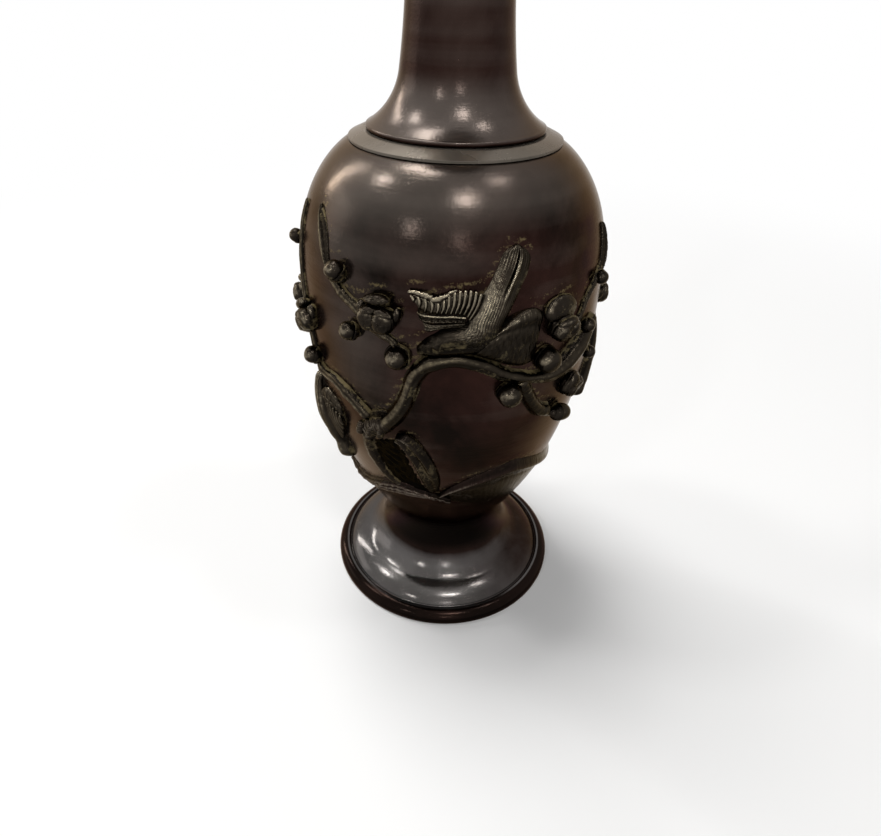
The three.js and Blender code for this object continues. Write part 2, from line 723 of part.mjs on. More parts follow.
const birdWings = {
  bird_wing_left: {
    lower: [[9.4, 0.795], [6, 0.803], [1.6, 0.802], [-4.7, 0.784], [-9.6, 0.791], [-12.8, 0.795]],
    upper: [[5.6, 0.735], [3, 0.728], [-1.5, 0.722], [-6.5, 0.722], [-9.6, 0.752],
      [-11.8, 0.778]],
    feathers: 7,
    fullness: 1,
    peg: [-3, 0.755],
  },
  bird_wing_right: {
    lower: [[12, 0.665], [16.4, 0.647], [21.5, 0.63], [25.5, 0.623], [29.2, 0.628]],
    upper: [[18.6, 0.742], [21.7, 0.75], [25, 0.755], [28.8, 0.752], [31.8, 0.74]],
    feathers: 5,
    fullness: 1.5,
    peg: [22.5, 0.69],
  },
  bird_lower_wing: {
    lower: [[-59.5, 0.325], [-55, 0.325], [-52.2, 0.335], [-49.6, 0.362], [-46.6, 0.396]],
    upper: [[-59.8, 0.468], [-56, 0.475], [-53, 0.472], [-49.6, 0.462], [-46.6, 0.444]],
    feathers: 5,
    fullness: 1,
    peg: [-53.4, 0.42],
  },
};

// The second bird hangs head down at the left side of the body
const lowerBird = {
  path: [[-61, 0.5], [-62.6, 0.47], [-62.6, 0.43], [-61.4, 0.385], [-59.6, 0.34], [-57.6, 0.302],
    [-55.4, 0.272], [-53.4, 0.254]],
  widths: [0.24, 0.4, 0.55, 0.6, 0.52, 0.44, 0.5, 0.28],
  heights: [0.24, 0.44, 0.64, 0.76, 0.68, 0.6, 0.62, 0.3],
  pegs: [[-62.2, 0.42]],
};

function lowerBirdBody(grow) {
  const widths = lowerBird.widths.map((share) => share * birdWidth);
  const heights = lowerBird.heights.map((share) => share * birdHeight);
  return limb(lowerBird.path, widths, heights, 11, grow, 8);
}

// Colours from the object: brown bronze on the turned castings, greener patina on the relief
const finishes = {
  turned: { color: 0x3a2925, roughness: 0.34, metalness: 0.85 },
  neck: { color: 0x46302b, roughness: 0.33, metalness: 0.85 },
  collar: { color: 0x35322b, roughness: 0.42, metalness: 0.8 },
  relief: { color: 0x3b3a2f, roughness: 0.5, metalness: 0.75 },
  hidden: { color: 0x4a3a2c, roughness: 0.6, metalness: 0.7 },
};

const group = new THREE.Group();

function addPiece(name, solid, finish) {
  const material = new THREE.MeshStandardMaterial(finish);
  const mesh = new THREE.Mesh(geometryOf(solid), material);
  mesh.name = name;
  group.add(mesh);
}

// Each relief casting is cut by the wall behind it and by the castings laid before it, with a
// seam all round, so the later ones saddle the earlier ones
const wallSolid = turned([
  [0, bodyBase],
  ...inset(bodyOutline(...outerRings), -seam),
  [0, bodyTop],
]);
const laid = [];
const pegPlaces = [];

function lay(name, make, pegs, finish = finishes.relief) {
  let solid = make(0).subtract(wallSolid);
  const box = solid.boundingBox();
  for (const earlier of laid) {
    const apart = [0, 1, 2].some((k) => (
      box.min[k] > earlier.box.max[k] || box.max[k] < earlier.box.min[k]
    ));
    if (!apart) solid = solid.subtract(earlier.grown);
  }
  solid = largest(solid);
  let grown = make(seam);
  for (const [degrees, share] of pegs) {
    solid = solid.add(peg(degrees, share, pegRadius, pegLength));
    grown = grown.add(peg(degrees, share, pegRadius + seam, pegLength));
    pegPlaces.push([degrees, share]);
  }
  addPiece(name, solid, finish);
  laid.push({ grown, box: grown.boundingBox() });
}

// A peg square to the wall, from inside the casting to its depth in the wall
function peg(degrees, share, radius, length) {
  const root = seam + pegRoot;
  const wall = onWall(degrees, share, (root - length) / 2);
  const cylinder = new THREE.CylinderGeometry(radius, radius, root + length, pegSides);
  const turn = new THREE.Quaternion().setFromUnitVectors(new THREE.Vector3(0, 1, 0), wall.out);
  cylinder.applyQuaternion(turn);
  cylinder.translate(wall.place.x, wall.place.y, wall.place.z);
  return solidOf(cylinder);
}

for (const [name, piece] of Object.entries(branches)) {
  lay(name, (grow) => branch(piece, grow), piece.pegs);
}
lay('trunk', trunk, trunkPegs);
lay('bird_body', birdBody, bird.pegs);
lay('bird_lower_body', lowerBirdBody, lowerBird.pegs);
for (const [name, piece] of Object.entries(birdWings)) {
  lay(name, (grow) => wing(piece, grow), [piece.peg]);
}
for (const [name, [degrees, share, radius]] of Object.entries(blossoms)) {
  lay(name, (grow) => blossom(degrees, share, radius, grow), [[degrees, share]]);
}
for (const [name, [degrees, share, radius, towards, lean]] of Object.entries(buds)) {
  lay(name, (grow) => bud(degrees, share, radius, towards, lean, grow), []);
}
for (const [name, piece] of Object.entries(hills)) {
  const places = [0.2, 0.5].map((share) => {
    const [low, high] = [edge(piece.lower)(share), edge(piece.upper)(share)];
    return [lerp(low[0], high[0], 0.5), lerp(low[1], high[1], 0.6)];
  });
  lay(name, (grow) => hill(piece, grow), places);
}

let body = makeBody();
for (const [degrees, share] of pegPlaces) {
  const seat = peg(degrees, share, pegRadius + pegClearance, pegLength + pegClearance);
  body = body.subtract(seat);
}
addPiece('body_shell', body, finishes.turned);
addPiece('floor_disc', makeFloorDisc(), finishes.hidden);
addPiece('foot', makeFoot(), finishes.turned);
addPiece('base_plate', makeBasePlate(), finishes.hidden);
addPiece('collar', makeCollar(), finishes.collar);
addPiece('neck', makeNeck(), finishes.neck);

export default group;
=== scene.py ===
"""A cast bronze bud vase with a plum tree and two birds in relief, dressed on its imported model.

Everything is in metres in the model's own frame: +Z up the axis, -Y towards the front bird.
Places on the wall of the body are degrees round from the front towards +X and the share of the
body's height, as on the model. Small sizes are in millimetres, and become metres times mm.
"""

import json

import bpy
import numpy as np
from mathutils import Matrix

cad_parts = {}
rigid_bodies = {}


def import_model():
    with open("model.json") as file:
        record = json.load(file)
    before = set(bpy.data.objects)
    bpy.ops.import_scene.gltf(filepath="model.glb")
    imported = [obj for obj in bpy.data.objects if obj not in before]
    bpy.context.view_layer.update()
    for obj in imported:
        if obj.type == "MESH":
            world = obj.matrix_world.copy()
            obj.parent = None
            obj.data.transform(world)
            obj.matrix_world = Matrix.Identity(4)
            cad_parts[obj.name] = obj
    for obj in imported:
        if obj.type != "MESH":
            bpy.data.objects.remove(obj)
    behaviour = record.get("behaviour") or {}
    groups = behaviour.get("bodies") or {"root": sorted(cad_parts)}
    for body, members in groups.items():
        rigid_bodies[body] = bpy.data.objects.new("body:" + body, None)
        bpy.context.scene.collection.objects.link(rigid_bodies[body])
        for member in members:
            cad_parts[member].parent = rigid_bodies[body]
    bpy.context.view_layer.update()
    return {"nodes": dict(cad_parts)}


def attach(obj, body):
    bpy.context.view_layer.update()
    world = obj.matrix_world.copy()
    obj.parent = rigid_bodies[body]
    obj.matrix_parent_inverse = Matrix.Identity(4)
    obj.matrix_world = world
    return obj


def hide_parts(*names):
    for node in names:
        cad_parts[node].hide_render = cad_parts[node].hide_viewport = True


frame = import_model()
mm = 0.001

# The view and the room. A hand-held camera looks down on the vase from close in front. The vase
# stands on a pale floor between a large soft lamp behind its left shoulder and smaller ones above.
camera_place = (0.0, -0.22435, 0.23559)
pitch, yaw, roll = 0.6215, -0.0119, 0.0253
ahead = np.array([np.sin(yaw) * np.cos(pitch), np.cos(yaw) * np.cos(pitch), -np.sin(pitch)])
level = np.array([np.cos(yaw), -np.sin(yaw), 0.0])
above = np.cross(level, ahead)
right = np.cos(roll) * level + np.sin(roll) * above
over = -np.sin(roll) * level + np.cos(roll) * above

view = bpy.data.cameras.new("view")
view.sensor_width = 36.0
view.lens = 25.915
view.clip_start = 0.01
view.clip_end = 200.0
camera = bpy.data.objects.new("view", view)
place = Matrix(np.column_stack([right, over, -ahead]).tolist()).to_4x4()
place.translation = camera_place
camera.matrix_world = place
bpy.context.scene.collection.objects.link(camera)
bpy.context.scene.camera = camera
bpy.context.scene.view_settings.view_transform = "Standard"


def lamp(name, round_to, height, distance, wide, tall, watts):
    """A soft lamp that faces the middle of the vase: degrees from straight behind towards +X,
    degrees above the level, its distance, its width and height, and its power."""
    turn, lift = np.radians(round_to), np.radians(height)
    aim = np.array([np.sin(turn) * np.cos(lift), np.cos(turn) * np.cos(lift), np.sin(lift)])
    data = bpy.data.lights.new(name, "AREA")
    data.shape = "RECTANGLE"
    data.size, data.size_y = wide, tall
    data.energy = watts
    data.color = (1.0, 0.993, 0.98)
    lamp_object = bpy.data.objects.new(name, data)
    side = np.cross((0, 0, 1.0), aim)
    side /= np.linalg.norm(side)
    stand = Matrix(np.column_stack([side, np.cross(aim, side), aim]).tolist()).to_4x4()
    stand.translation = aim * distance + np.array([0, 0, 0.12])
    lamp_object.matrix_world = stand
    bpy.context.scene.collection.objects.link(lamp_object)


lamp("skylight", -42, 74, 3.2, 1.25, 1.15, 73.0)
lamp("window", -58, 28, 2.8, 0.16, 1.4, 16.0)
lamp("wall_glow", -76, 14, 2.6, 1.4, 1.0, 5.0)
lamp("second_window", -86, 52, 2.6, 0.3, 0.34, 8.0)
lamp("ceiling_lamp", 165, 61, 2.4, 0.4, 0.25, 9.5)
lamp("side_lamp", -146, 32, 2.5, 0.16, 0.16, 3.4)
lamp("back_lamp", 98, 67, 2.4, 0.18, 0.18, 3.6)
lamp("low_lamp", 174, 27, 2.4, 0.14, 0.14, 2.8)


def node(tree, kind, inputs=None, **settings):
    """Adds a node, gives it its settings, and sets or links its inputs by name or number."""
    made = tree.nodes.new(kind)
    for key, value in settings.items():
        setattr(made, key, value)
    for key, value in (inputs or {}).items():
        if isinstance(value, bpy.types.NodeSocket):
            tree.links.new(value, made.inputs[key])
        else:
            made.inputs[key].default_value = value
    return made


def maths(tree, operation, *values, clamp=False):
    """One operation on two or three values, each a number or a socket."""
    return node(tree, "ShaderNodeMath", dict(enumerate(values)), operation=operation,
                use_clamp=clamp).outputs[0]


def mixed(tree, share, first, second):
    """The second colour over the first by a share from 0 to 1."""
    return node(tree, "ShaderNodeMix", {0: share, 6: first, 7: second}, data_type="RGBA").outputs[2]


def ramp(tree, value, low, high, to_low=0.0, to_high=1.0, **settings):
    """A value read from low to high as a share, held at both ends."""
    return node(tree, "ShaderNodeMapRange", {"Value": value, "From Min": low, "From Max": high,
                                             "To Min": to_low, "To Max": to_high}, **settings).outputs[0]


def seen_directly(tree):
    """1 where a ray comes from the camera, a polished surface or through glass, else 0."""
    path = node(tree, "ShaderNodeLightPath").outputs
    straight = maths(tree, "MAXIMUM", path["Is Camera Ray"], path["Is Transmission Ray"])
    return maths(tree, "MAXIMUM", straight, path["Is Glossy Ray"])


def empty_material(name):
    """A new material and its empty node tree."""
    material = bpy.data.materials.new(name)
    material.use_nodes = True
    material.node_tree.nodes.clear()
    return material, material.node_tree


def surface(tree, inputs):
    """Ends a material's tree with a principled surface that has those inputs."""
    shader = node(tree, "ShaderNodeBsdfPrincipled", inputs)
    node(tree, "ShaderNodeOutputMaterial", {"Surface": shader.outputs[0]})


room = bpy.data.worlds.new("room")
room.use_nodes = True
bpy.context.scene.world = room
tree = room.node_tree
tree.nodes.clear()
tone = mixed(tree, seen_directly(tree), (0.06, 0.06, 0.062, 1), (1, 1, 1, 1))
sky = node(tree, "ShaderNodeBackground", {"Color": tone, "Strength": 1.0})
node(tree, "ShaderNodeOutputWorld", {"Surface": sky.outputs[0]})

floor_radius, floor_sides = 30.0, 64
floor_mesh = bpy.data.meshes.new("floor")
corners = np.radians(np.arange(floor_sides) * 360 / floor_sides)
floor_mesh.from_pydata(
    np.column_stack([floor_radius * np.cos(corners), floor_radius * np.sin(corners), 0 * corners]).tolist(),
    [], [list(range(floor_sides))])
floor = bpy.data.objects.new("floor", floor_mesh)
bpy.context.scene.collection.objects.link(floor)
paint, tree = empty_material("pale_floor")
spot = node(tree, "ShaderNodeTexCoord").outputs["Object"]
far = node(tree, "ShaderNodeVectorMath", {0: spot}, operation="LENGTH").outputs["Value"]
spread = ramp(tree, far, 0.3, 0.75, 0.1, 1.0, interpolation_type="SMOOTHSTEP")
pale = mixed(tree, maths(tree, "SUBTRACT", 1.0, spread), (0, 0, 0, 1), (0.9, 0.9, 0.9, 1))
surface(tree, {"Base Color": pale, "Roughness": 1.0, "Specular IOR Level": 0.0,
               "Emission Color": (1, 1, 1, 1),
               "Emission Strength": maths(tree, "MULTIPLY", seen_directly(tree), spread)})
floor_mesh.materials.append(paint)

# The foot. A hollow bronze casting turned outside: it spreads from the waist in a hollow curve,
# swells to a thin groove and ends in a round rim, handled smooth. A tenon of the body sits in it.
waist_height = 37 * mm


def smooth(share):
    """A share from 0 to 1 eased at both ends: 3 times its square less 2 times its cube."""
    return share ** 2 * (3 - 2 * share)


def hump(x, middle, width):
    """A bell of height 1 about a middle: e to the power minus the squared share of its width."""
    return np.exp(-((x - middle) / width) ** 2)


def faces_of(rows, sides, ring):
    """The corners of each four-sided face of a grid whose columns run round, and its rows too."""
    row = np.arange(rows if ring else rows - 1)[:, None]
    column = np.arange(sides)[None, :]
    after, beside = (row + 1) % rows, (column + 1) % sides
    quads = [row * sides + column, row * sides + beside, after * sides + beside, after * sides + column]
    return np.stack(np.broadcast_arrays(*quads), -1).reshape(-1, 4)


def painted_light_and_dust(facing, wears_and_light, shade, dust):
    """Painted light and shade, and dust. What faces up and to the left keeps its value as painted
    light; what faces down and to the right loses the share shade of it, as painted shade. Dust
    comes off the value of what faces straight up. Below -1.5, a hollow painted black as shade,
    it stays."""
    lit = np.clip((facing @ (-0.42, -0.12, 0.9) + 0.4) / 1.05, 0, 1)
    kept = wears_and_light * (1 - shade * (1 - smooth(lit)))
    return np.where(wears_and_light < -1.5, wears_and_light, kept - dust * np.clip((facing[:, 2] - 0.4) / 0.5, 0, 1))


def skin(name, sheets, material, node_names, sharp=48, shade=0.0, dust=0.45):
    """One mesh object from closed sheets, in place of nodes. A sheet is (points, value, ring):
    rows x sides x 3 points in metres, and a value for each of rubbed metal and painted light,
    from 0 in the hollows to 1 on the ridges. Columns always run round. Rows close too on a ring;
    otherwise a middle point closes the first and last row. A sheet whose signed volume comes out
    negative is turned, so that every face points outwards. With a shade, painted shade lessens
    the value on what faces down and to the right, and painted light keeps it up and to the left."""
    points, wears_and_light, loops, sizes, first = [], [], [], [], 0
    for grid, wear_and_light, ring in sheets:
        rows, sides = grid.shape[:2]
        corner = grid.reshape(-1, 3)
        wear_and_light = np.broadcast_to(wear_and_light, (rows, sides)).reshape(-1)
        quads = faces_of(rows, sides, ring)
        fans = np.zeros((0, 3), int)
        if not ring:
            ends = np.stack([grid[0].mean(0), grid[-1].mean(0)])
            corner = np.concatenate([corner, ends])
            wear_and_light = np.concatenate([wear_and_light, [wear_and_light[:sides].mean(), wear_and_light[-sides:].mean()]])
            j = np.arange(sides)
            last = (rows - 1) * sides
            fans = np.concatenate([
                np.stack([(j + 1) % sides, j, np.full(sides, rows * sides)], -1),
                np.stack([last + j, last + (j + 1) % sides, np.full(sides, rows * sides + 1)], -1)])
        triangles = np.concatenate([quads[:, [0, 1, 2]], quads[:, [0, 2, 3]], fans])
        a, b, c = (corner[triangles[:, k]] - corner.mean(0) for k in range(3))
        if np.einsum("ij,ij->i", a, np.cross(b, c)).sum() < 0:
            quads, fans = quads[:, ::-1], fans[:, ::-1]
        points.append(corner)
        wears_and_light.append(wear_and_light)
        loops += [(quads + first).reshape(-1), (fans + first).reshape(-1)]
        sizes += [np.full(len(quads), 4), np.full(len(fans), 3)]
        first += len(corner)
    points, wears_and_light = np.concatenate(points), np.concatenate(wears_and_light)
    loops, sizes = np.concatenate(loops), np.concatenate(sizes)
    mesh = bpy.data.meshes.new(name)
    mesh.vertices.add(len(points))
    mesh.vertices.foreach_set("co", points.astype(np.float32).reshape(-1))
    mesh.loops.add(len(loops))
    mesh.loops.foreach_set("vertex_index", loops.astype(np.int32))
    mesh.polygons.add(len(sizes))
    mesh.polygons.foreach_set("loop_start", (np.cumsum(sizes) - sizes).astype(np.int32))
    mesh.update(calc_edges=True)
    if shade:
        facing = np.empty(len(points) * 3)
        mesh.vertex_normals.foreach_get("vector", facing)
        wears_and_light = painted_light_and_dust(facing.reshape(-1, 3), wears_and_light, shade, dust)
    mesh.attributes.new("wear_and_light", "FLOAT", "POINT").data.foreach_set("value", wears_and_light.astype(np.float32))
    mesh.polygons.foreach_set("use_smooth", np.ones(len(sizes), bool))
    mesh.set_sharp_from_angle(angle=np.radians(sharp))
    mesh.materials.append(material)
    piece = bpy.data.objects.new(name, mesh)
    bpy.context.scene.collection.objects.link(piece)
    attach(piece, "root")
    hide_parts(*node_names)


def bend(controls, count):
    """A curve drawn by its control points: each point weighs in by its Bernstein share."""
    t = np.linspace(0, 1, count)[:, None]
    p = np.repeat(np.asarray(controls, float)[:, None], count, 1)
    while len(p) > 1:
        p = p[:-1] * (1 - t) + p[1:] * t
    return p[0]


def line(*corners):
    """Straight runs between corners (mm), with points a quarter millimetre in from each corner
    so that the smooth shading stays on the corner."""
    p = np.asarray(corners, float)
    out = []
    for a, b in zip(p[:-1], p[1:]):
        run = np.linalg.norm(b - a)
        step = min(0.25, run / 3) / run
        out += [a, a + (b - a) * step, b - (b - a) * step]
    return np.array(out + [p[-1]])


def sheen_and_waist_shade(outline, sides, low, high, waist_shade=None):
    """Painted sheen and painted shade for a closed turned outline, rows x sides: a half, more by up
    to a half where its surface faces up, as the upward part of its normal goes from low to high,
    most of all to the left of the front, a painted sheen for the reflection of the lamps above;
    and down to 0 in the waist between body and foot, a painted shade, where the first of the two
    heights given is the reach that is black and the second the reach of all of it."""
    step = np.gradient(outline, axis=0)
    beside = np.roll(outline, -1, 0)
    way = np.sign(np.sum(outline[:, 0] * beside[:, 1] - beside[:, 0] * outline[:, 1]))
    up = -way * step[:, 0] / np.maximum(np.hypot(step[:, 0], step[:, 1]), 1e-9)
    share = np.clip((up - low) / (high - low), 0, 1)[:, None]
    turn = np.linspace(0, 2 * np.pi, sides, endpoint=False)[None, :]
    wear_and_light = 0.5 + 0.5 * smooth(share) * (0.6 + 0.4 * np.cos(turn + 0.9))
    if waist_shade:
        away = np.abs(outline[:, 1] - waist_height)[:, None]
        wear_and_light = wear_and_light * np.clip((away - waist_shade[0]) / (waist_shade[1] - waist_shade[0]), 0, 1)
    return wear_and_light


def lit_patches(wear_and_light, level, patches):
    """The value with soft patches made brighter or duller: painted highlights and reflections,
    painted shade where a patch takes away, and a few patches of paler patina tone. Level is each
    row's height, and a patch is its degrees round, its level, how wide and tall its bell is, and
    what it adds."""
    turn = (np.linspace(0, 360, wear_and_light.shape[1], endpoint=False) + 180) % 360 - 180
    for degrees, middle, wide, tall, more in patches:
        wear_and_light = wear_and_light + more * hump(turn, degrees, wide) * hump(level[:, None], middle, tall)
    return wear_and_light


def revolve(outline, sides, unround=0.0, seed=1):
    """The closed outline of (radius, height) carried round the axis. A hand-made piece is a
    little out of round: the radius swells and shrinks by a sum of two and three waves a turn."""
    angle = np.linspace(0, 2 * np.pi, sides, endpoint=False)
    phase = np.random.default_rng(seed).uniform(0, 6.28, 2)
    swell = 1 + unround * (np.sin(2 * angle + phase[0]) + 0.6 * np.sin(3 * angle + phase[1]))
    r, z = outline[:, 0][:, None], outline[:, 1][:, None]
    return np.stack([r * swell * np.sin(angle), -r * swell * np.cos(angle), z + 0 * angle], -1)


def effect(name, inputs, outputs):
    """An empty node group with those sockets: (its tree, what comes in, what goes out)."""
    tree = bpy.data.node_groups.new(name, "ShaderNodeTree")
    for label, kind in inputs.items():
        tree.interface.new_socket(name=label, in_out="INPUT", socket_type=kind)
    for label, kind in outputs.items():
        tree.interface.new_socket(name=label, in_out="OUTPUT", socket_type=kind)
    return tree, node(tree, "NodeGroupInput").outputs, node(tree, "NodeGroupOutput").inputs


def noise(tree, place, scale, detail=2.0, roughness=0.5, distortion=0.0):
    """Soft noise about a half, read at a place."""
    return node(tree, "ShaderNodeTexNoise", {"Vector": place, "Scale": scale, "Detail": detail,
                                             "Roughness": roughness, "Distortion": distortion}).outputs["Fac"]


def stretched(tree, place, scales):
    """A place whose three parts are each multiplied by a scale."""
    return node(tree, "ShaderNodeVectorMath", {0: place, 1: scales}, operation="MULTIPLY").outputs[0]


VALUE, VECTOR = "NodeSocketFloat", "NodeSocketVector"

# Cast and handled skin: broad clouds in the patina, a fine grain, and small scattered pits
tree, given, made = effect("cast_skin",
                           {"Place": VECTOR, "Clouds": VALUE, "Grain": VALUE, "Pitting": VALUE},
                           {"Cloud": VALUE, "Speck": VALUE, "Height": VALUE})
grain = noise(tree, given["Place"], given["Grain"], 3.0, 0.55)
cell = node(tree, "ShaderNodeTexVoronoi", {"Vector": given["Place"], "Scale": given["Grain"]})
deep = ramp(tree, cell.outputs["Distance"], 0.04, 0.26, 1.0, 0.0)
some = ramp(tree, noise(tree, given["Place"], 130.0), 0.46, 0.62)
pits = maths(tree, "MULTIPLY", maths(tree, "MULTIPLY", deep, some), given["Pitting"])
tree.links.new(noise(tree, given["Place"], given["Clouds"], 5.0, 0.62, 0.3), made["Cloud"])
tree.links.new(pits, made["Speck"])
tree.links.new(maths(tree, "SUBTRACT", grain, pits), made["Height"])

# Turning lines: the tool left hair-fine level rings, some of them deeper, all a little broken
tree, given, made = effect("turning_lines", {"Place": VECTOR, "Fineness": VALUE},
                           {"Line": VALUE, "Height": VALUE})
rings = noise(tree, stretched(tree, given["Place"], (7.0, 7.0, 900.0)), given["Fineness"], 4.0, 0.7)
broad = noise(tree, stretched(tree, given["Place"], (3.0, 3.0, 160.0)), given["Fineness"], 3.0)
tree.links.new(broad, made["Line"])
tree.links.new(maths(tree, "ADD", rings, broad), made["Height"])


def grouped(tree, name, place, **values):
    """What comes out of a node group that is read at a place, with its other inputs set."""
    return node(tree, "ShaderNodeGroup", {"Place": place, **values},
                node_tree=bpy.data.node_groups[name]).outputs


def kept_on(tree, name):
    """A value that the mesh keeps at its points."""
    return node(tree, "ShaderNodeAttribute", attribute_name=name).outputs["Fac"]


def turned_bronze(name, dark, red, sheen, roughness, metal, clouds=38.0, pitting=0.7, lines=1.0,
                  bump=0.35, gloss=0.25):
    """Waxed brown patina on a turned casting: dark and reddish clouds; a pale painted sheen, for
    the reflection of the lamps above, where the kept value is high; painted shade, near black,
    where it is near 0; speckled ochre earth where some has settled; and turning lines that break
    up its gloss."""
    material, tree = empty_material(name)
    spot = node(tree, "ShaderNodeTexCoord").outputs["Object"]
    cast = grouped(tree, "cast_skin", spot, Clouds=clouds, Grain=1100.0, Pitting=pitting)
    ring = grouped(tree, "turning_lines", spot, Fineness=lines)
    wear_and_light = kept_on(tree, "wear_and_light")
    colour = mixed(tree, ramp(tree, cast["Cloud"], 0.38, 0.62), (*dark, 1), (*red, 1))
    colour = mixed(tree, ramp(tree, cast["Speck"], 0.2, 0.8, 0, 0.6), colour, (*dark, 1))
    sheen_share = maths(tree, "MULTIPLY_ADD", ring["Line"], 0.35, wear_and_light)
    sheen_share = maths(tree, "MULTIPLY_ADD", cast["Cloud"], 0.5, sheen_share)
    # Painted sheen: the pale colour stands for the reflection of the lamps above.
    colour = mixed(tree, ramp(tree, sheen_share, 0.9, 1.5), colour, (*sheen, 1))
    # Painted shade: near black where the kept value is near 0.
    colour = mixed(tree, ramp(tree, wear_and_light, 0.4, 0.05, 0, 0.95), colour, (0.0012, 0.0007, 0.0006, 1))
    speckle = ramp(tree, noise(tree, spot, 1100.0, 3.0, 0.7), 0.3, 0.7)
    settled = ramp(tree, maths(tree, "ADD", speckle, kept_on(tree, "earth")), 1.1, 1.7, 0, 0.6)
    colour = mixed(tree, settled, colour, (0.2, 0.155, 0.075, 1))
    rough = ramp(tree, cast["Cloud"], 0.3, 0.7, roughness - 0.05, roughness + 0.08)
    rough = maths(tree, "MULTIPLY_ADD", settled, 0.6, rough, clamp=True)
    relief = node(tree, "ShaderNodeBump", {"Height": maths(tree, "ADD", ring["Height"], cast["Height"]),
                                           "Strength": bump, "Distance": 0.12 * mm})
    surface(tree, {"Base Color": colour, "Roughness": rough, "Metallic": metal,
                   "Normal": relief.outputs[0], "Specular IOR Level": gloss,
                   "Specular Tint": (0.62, 0.5, 0.4, 1)})
    return material


foot_top, rim_centre, rim_wide, rim_middle, rim_high, inner_edge = 35.7, 46.3, 4.7, 1.77, 4.1, 39.6
quarter = np.linspace(0, np.pi / 2, 22)
foot_outline = mm * np.concatenate([
    bend([(25, foot_top), (24, 22.1), (31, 12.7), (37, 11)], 60),
    bend([(37, 11), (42.53, 9.22), (44.7, 6.1)], 22)[1:],
    bend([(44.9, 5.9), (45.3, 4.9), (45.9, 4.9), (rim_centre, 5.86)], 10),
    np.column_stack([rim_centre + rim_wide * np.sin(quarter), rim_middle + rim_high * np.cos(quarter)])[1:],
    bend([(rim_centre + rim_wide, rim_middle), (51, 0.3), (50.2, 0)], 8)[1:],
    line((50.2, 0), (43, 0), (43, 3), (inner_edge, 3))[1:],
    bend([(inner_edge, 3), (35.5, 8), (27, 9.6), (22, 20)], 24)[1:],
    line((22, 20), (15, 27.3), (15, 30.7), (21.3, 30.7), (21.3, foot_top), (24.9, foot_top))[1:]])
foot_bronze = turned_bronze("foot_bronze", (0.006, 0.0035, 0.003), (0.014, 0.0075, 0.006),
                            (0.105, 0.099, 0.096), 0.135, 0.8, pitting=1.8)
foot_sides = 288
# Painted sheen where the foot faces up, most to the left, and painted shade in the waist.
foot_sheen_and_shade = sheen_and_waist_shade(foot_outline, foot_sides, 0.2, 0.62, (12 * mm, 20 * mm))
# Painted highlights in soft patches on the dome, and painted shade on its right side.
foot_sheen_and_shade = lit_patches(foot_sheen_and_shade, foot_outline[:, 1] / mm, (
    (-38, 12, 14, 2.6, 0.22), (8, 9.4, 24, 1.2, 0.3), (6, 14.5, 14, 1.5, 0.16), (70, 11, 50, 9, -0.25)))
# Painted shade darkens the outer rim; the bead gets a painted highlight line.
foot_sheen_and_shade[foot_outline[:, 0] > 45.4 * mm] *= 0.35
rim_bead = (foot_outline[:, 1] > 5.5 * mm) & (np.abs(foot_outline[:, 0] - 46.5 * mm) < 0.7 * mm)
foot_sheen_and_shade[rim_bead] = 0.9
skin("foot_casting", [(revolve(foot_outline, foot_sides, 0.0015, 3), foot_sheen_and_shade, True)], foot_bronze,
     ["foot"], sharp=40)

# The hidden plates. A dull cast plate closes the foot from below, and a disc closes the hole in
# the floor of the body where its core was held. Both are left as they came from the mould.
plate_bronze = turned_bronze("plate_bronze", (0.12, 0.1, 0.075), (0.16, 0.12, 0.08),
                             (0.2, 0.18, 0.14), 0.5, 0.7, clouds=60.0, lines=0.6, bump=0.5)
for name in ("base_plate", "floor_disc"):
    plate = frame["nodes"][name]
    plate.data.materials.clear()
    plate.data.materials.append(plate_bronze)

# The body. A thin-walled bronze casting, turned and waxed outside: it swells from the waist as a
# quarter sine, closes to its seat in a round shoulder, and holds the water. Each casting of the
# relief is laid on it afterwards.
body_base, body_height, belly_height = 36 * mm, 153 * mm, 101 * mm
waist_radius, belly_radius, seat_radius = 25 * mm, 54.5 * mm, 35.2 * mm
wall_thickness = 3 * mm


def body_radius(z):
    """Up to the belly: waist to belly by the sine of a quarter turn of the share of the rise to
    the power 0.78. Above it: belly to seat by (1 - share cubed) to the power 0.8."""
    rise = np.clip(z - body_base, 0, body_height)
    low = np.clip(rise / belly_height, 0, 1) ** 0.78
    high = np.clip((rise - belly_height) / (body_height - belly_height), 0, 1)
    bowl = waist_radius + (belly_radius - waist_radius) * np.sin(np.pi / 2 * low)
    shoulder = seat_radius + (belly_radius - seat_radius) * np.clip(1 - high ** 3, 0, 1) ** 0.8
    return np.where(rise <= belly_height, bowl, shoulder)


low = body_base + belly_height * np.linspace(0, 1, 126) ** 1.15
quarter_turn = np.pi / 2 * np.linspace(0, 1, 74)[1:]
high = body_base + belly_height + (body_height - belly_height) * np.sin(quarter_turn)
body_z = np.concatenate([low, high])
body_rows, body_sides = len(body_z), 360
outer = np.column_stack([body_radius(body_z), body_z])
step = np.gradient(outer, axis=0)
step /= np.linalg.norm(step, axis=1)[:, None]
inner = (outer - wall_thickness * np.column_stack([step[:, 1], -step[:, 0]]))[::-1]
inner = inner[(inner[:, 1] > 40.6 * mm) & (inner[:, 1] < 185.6 * mm) & (inner[:, 0] > 26 * mm)]
body_outline = np.concatenate([
    outer,
    mm * line((35.1, 189), (28.7, 189), (28.7, 186))[1:],
    inner[::5],
    mm * line((18.3, 40), (18.3, 37.5), (15, 37.5), (15, 31.3), (21, 31.3), (21, 36), (24.9, 36))])
body_bronze = turned_bronze("body_bronze", (0.004, 0.0024, 0.002), (0.024, 0.01, 0.008),
                            (0.085, 0.071, 0.061), 0.19, 0.8, clouds=26.0, gloss=0.2)
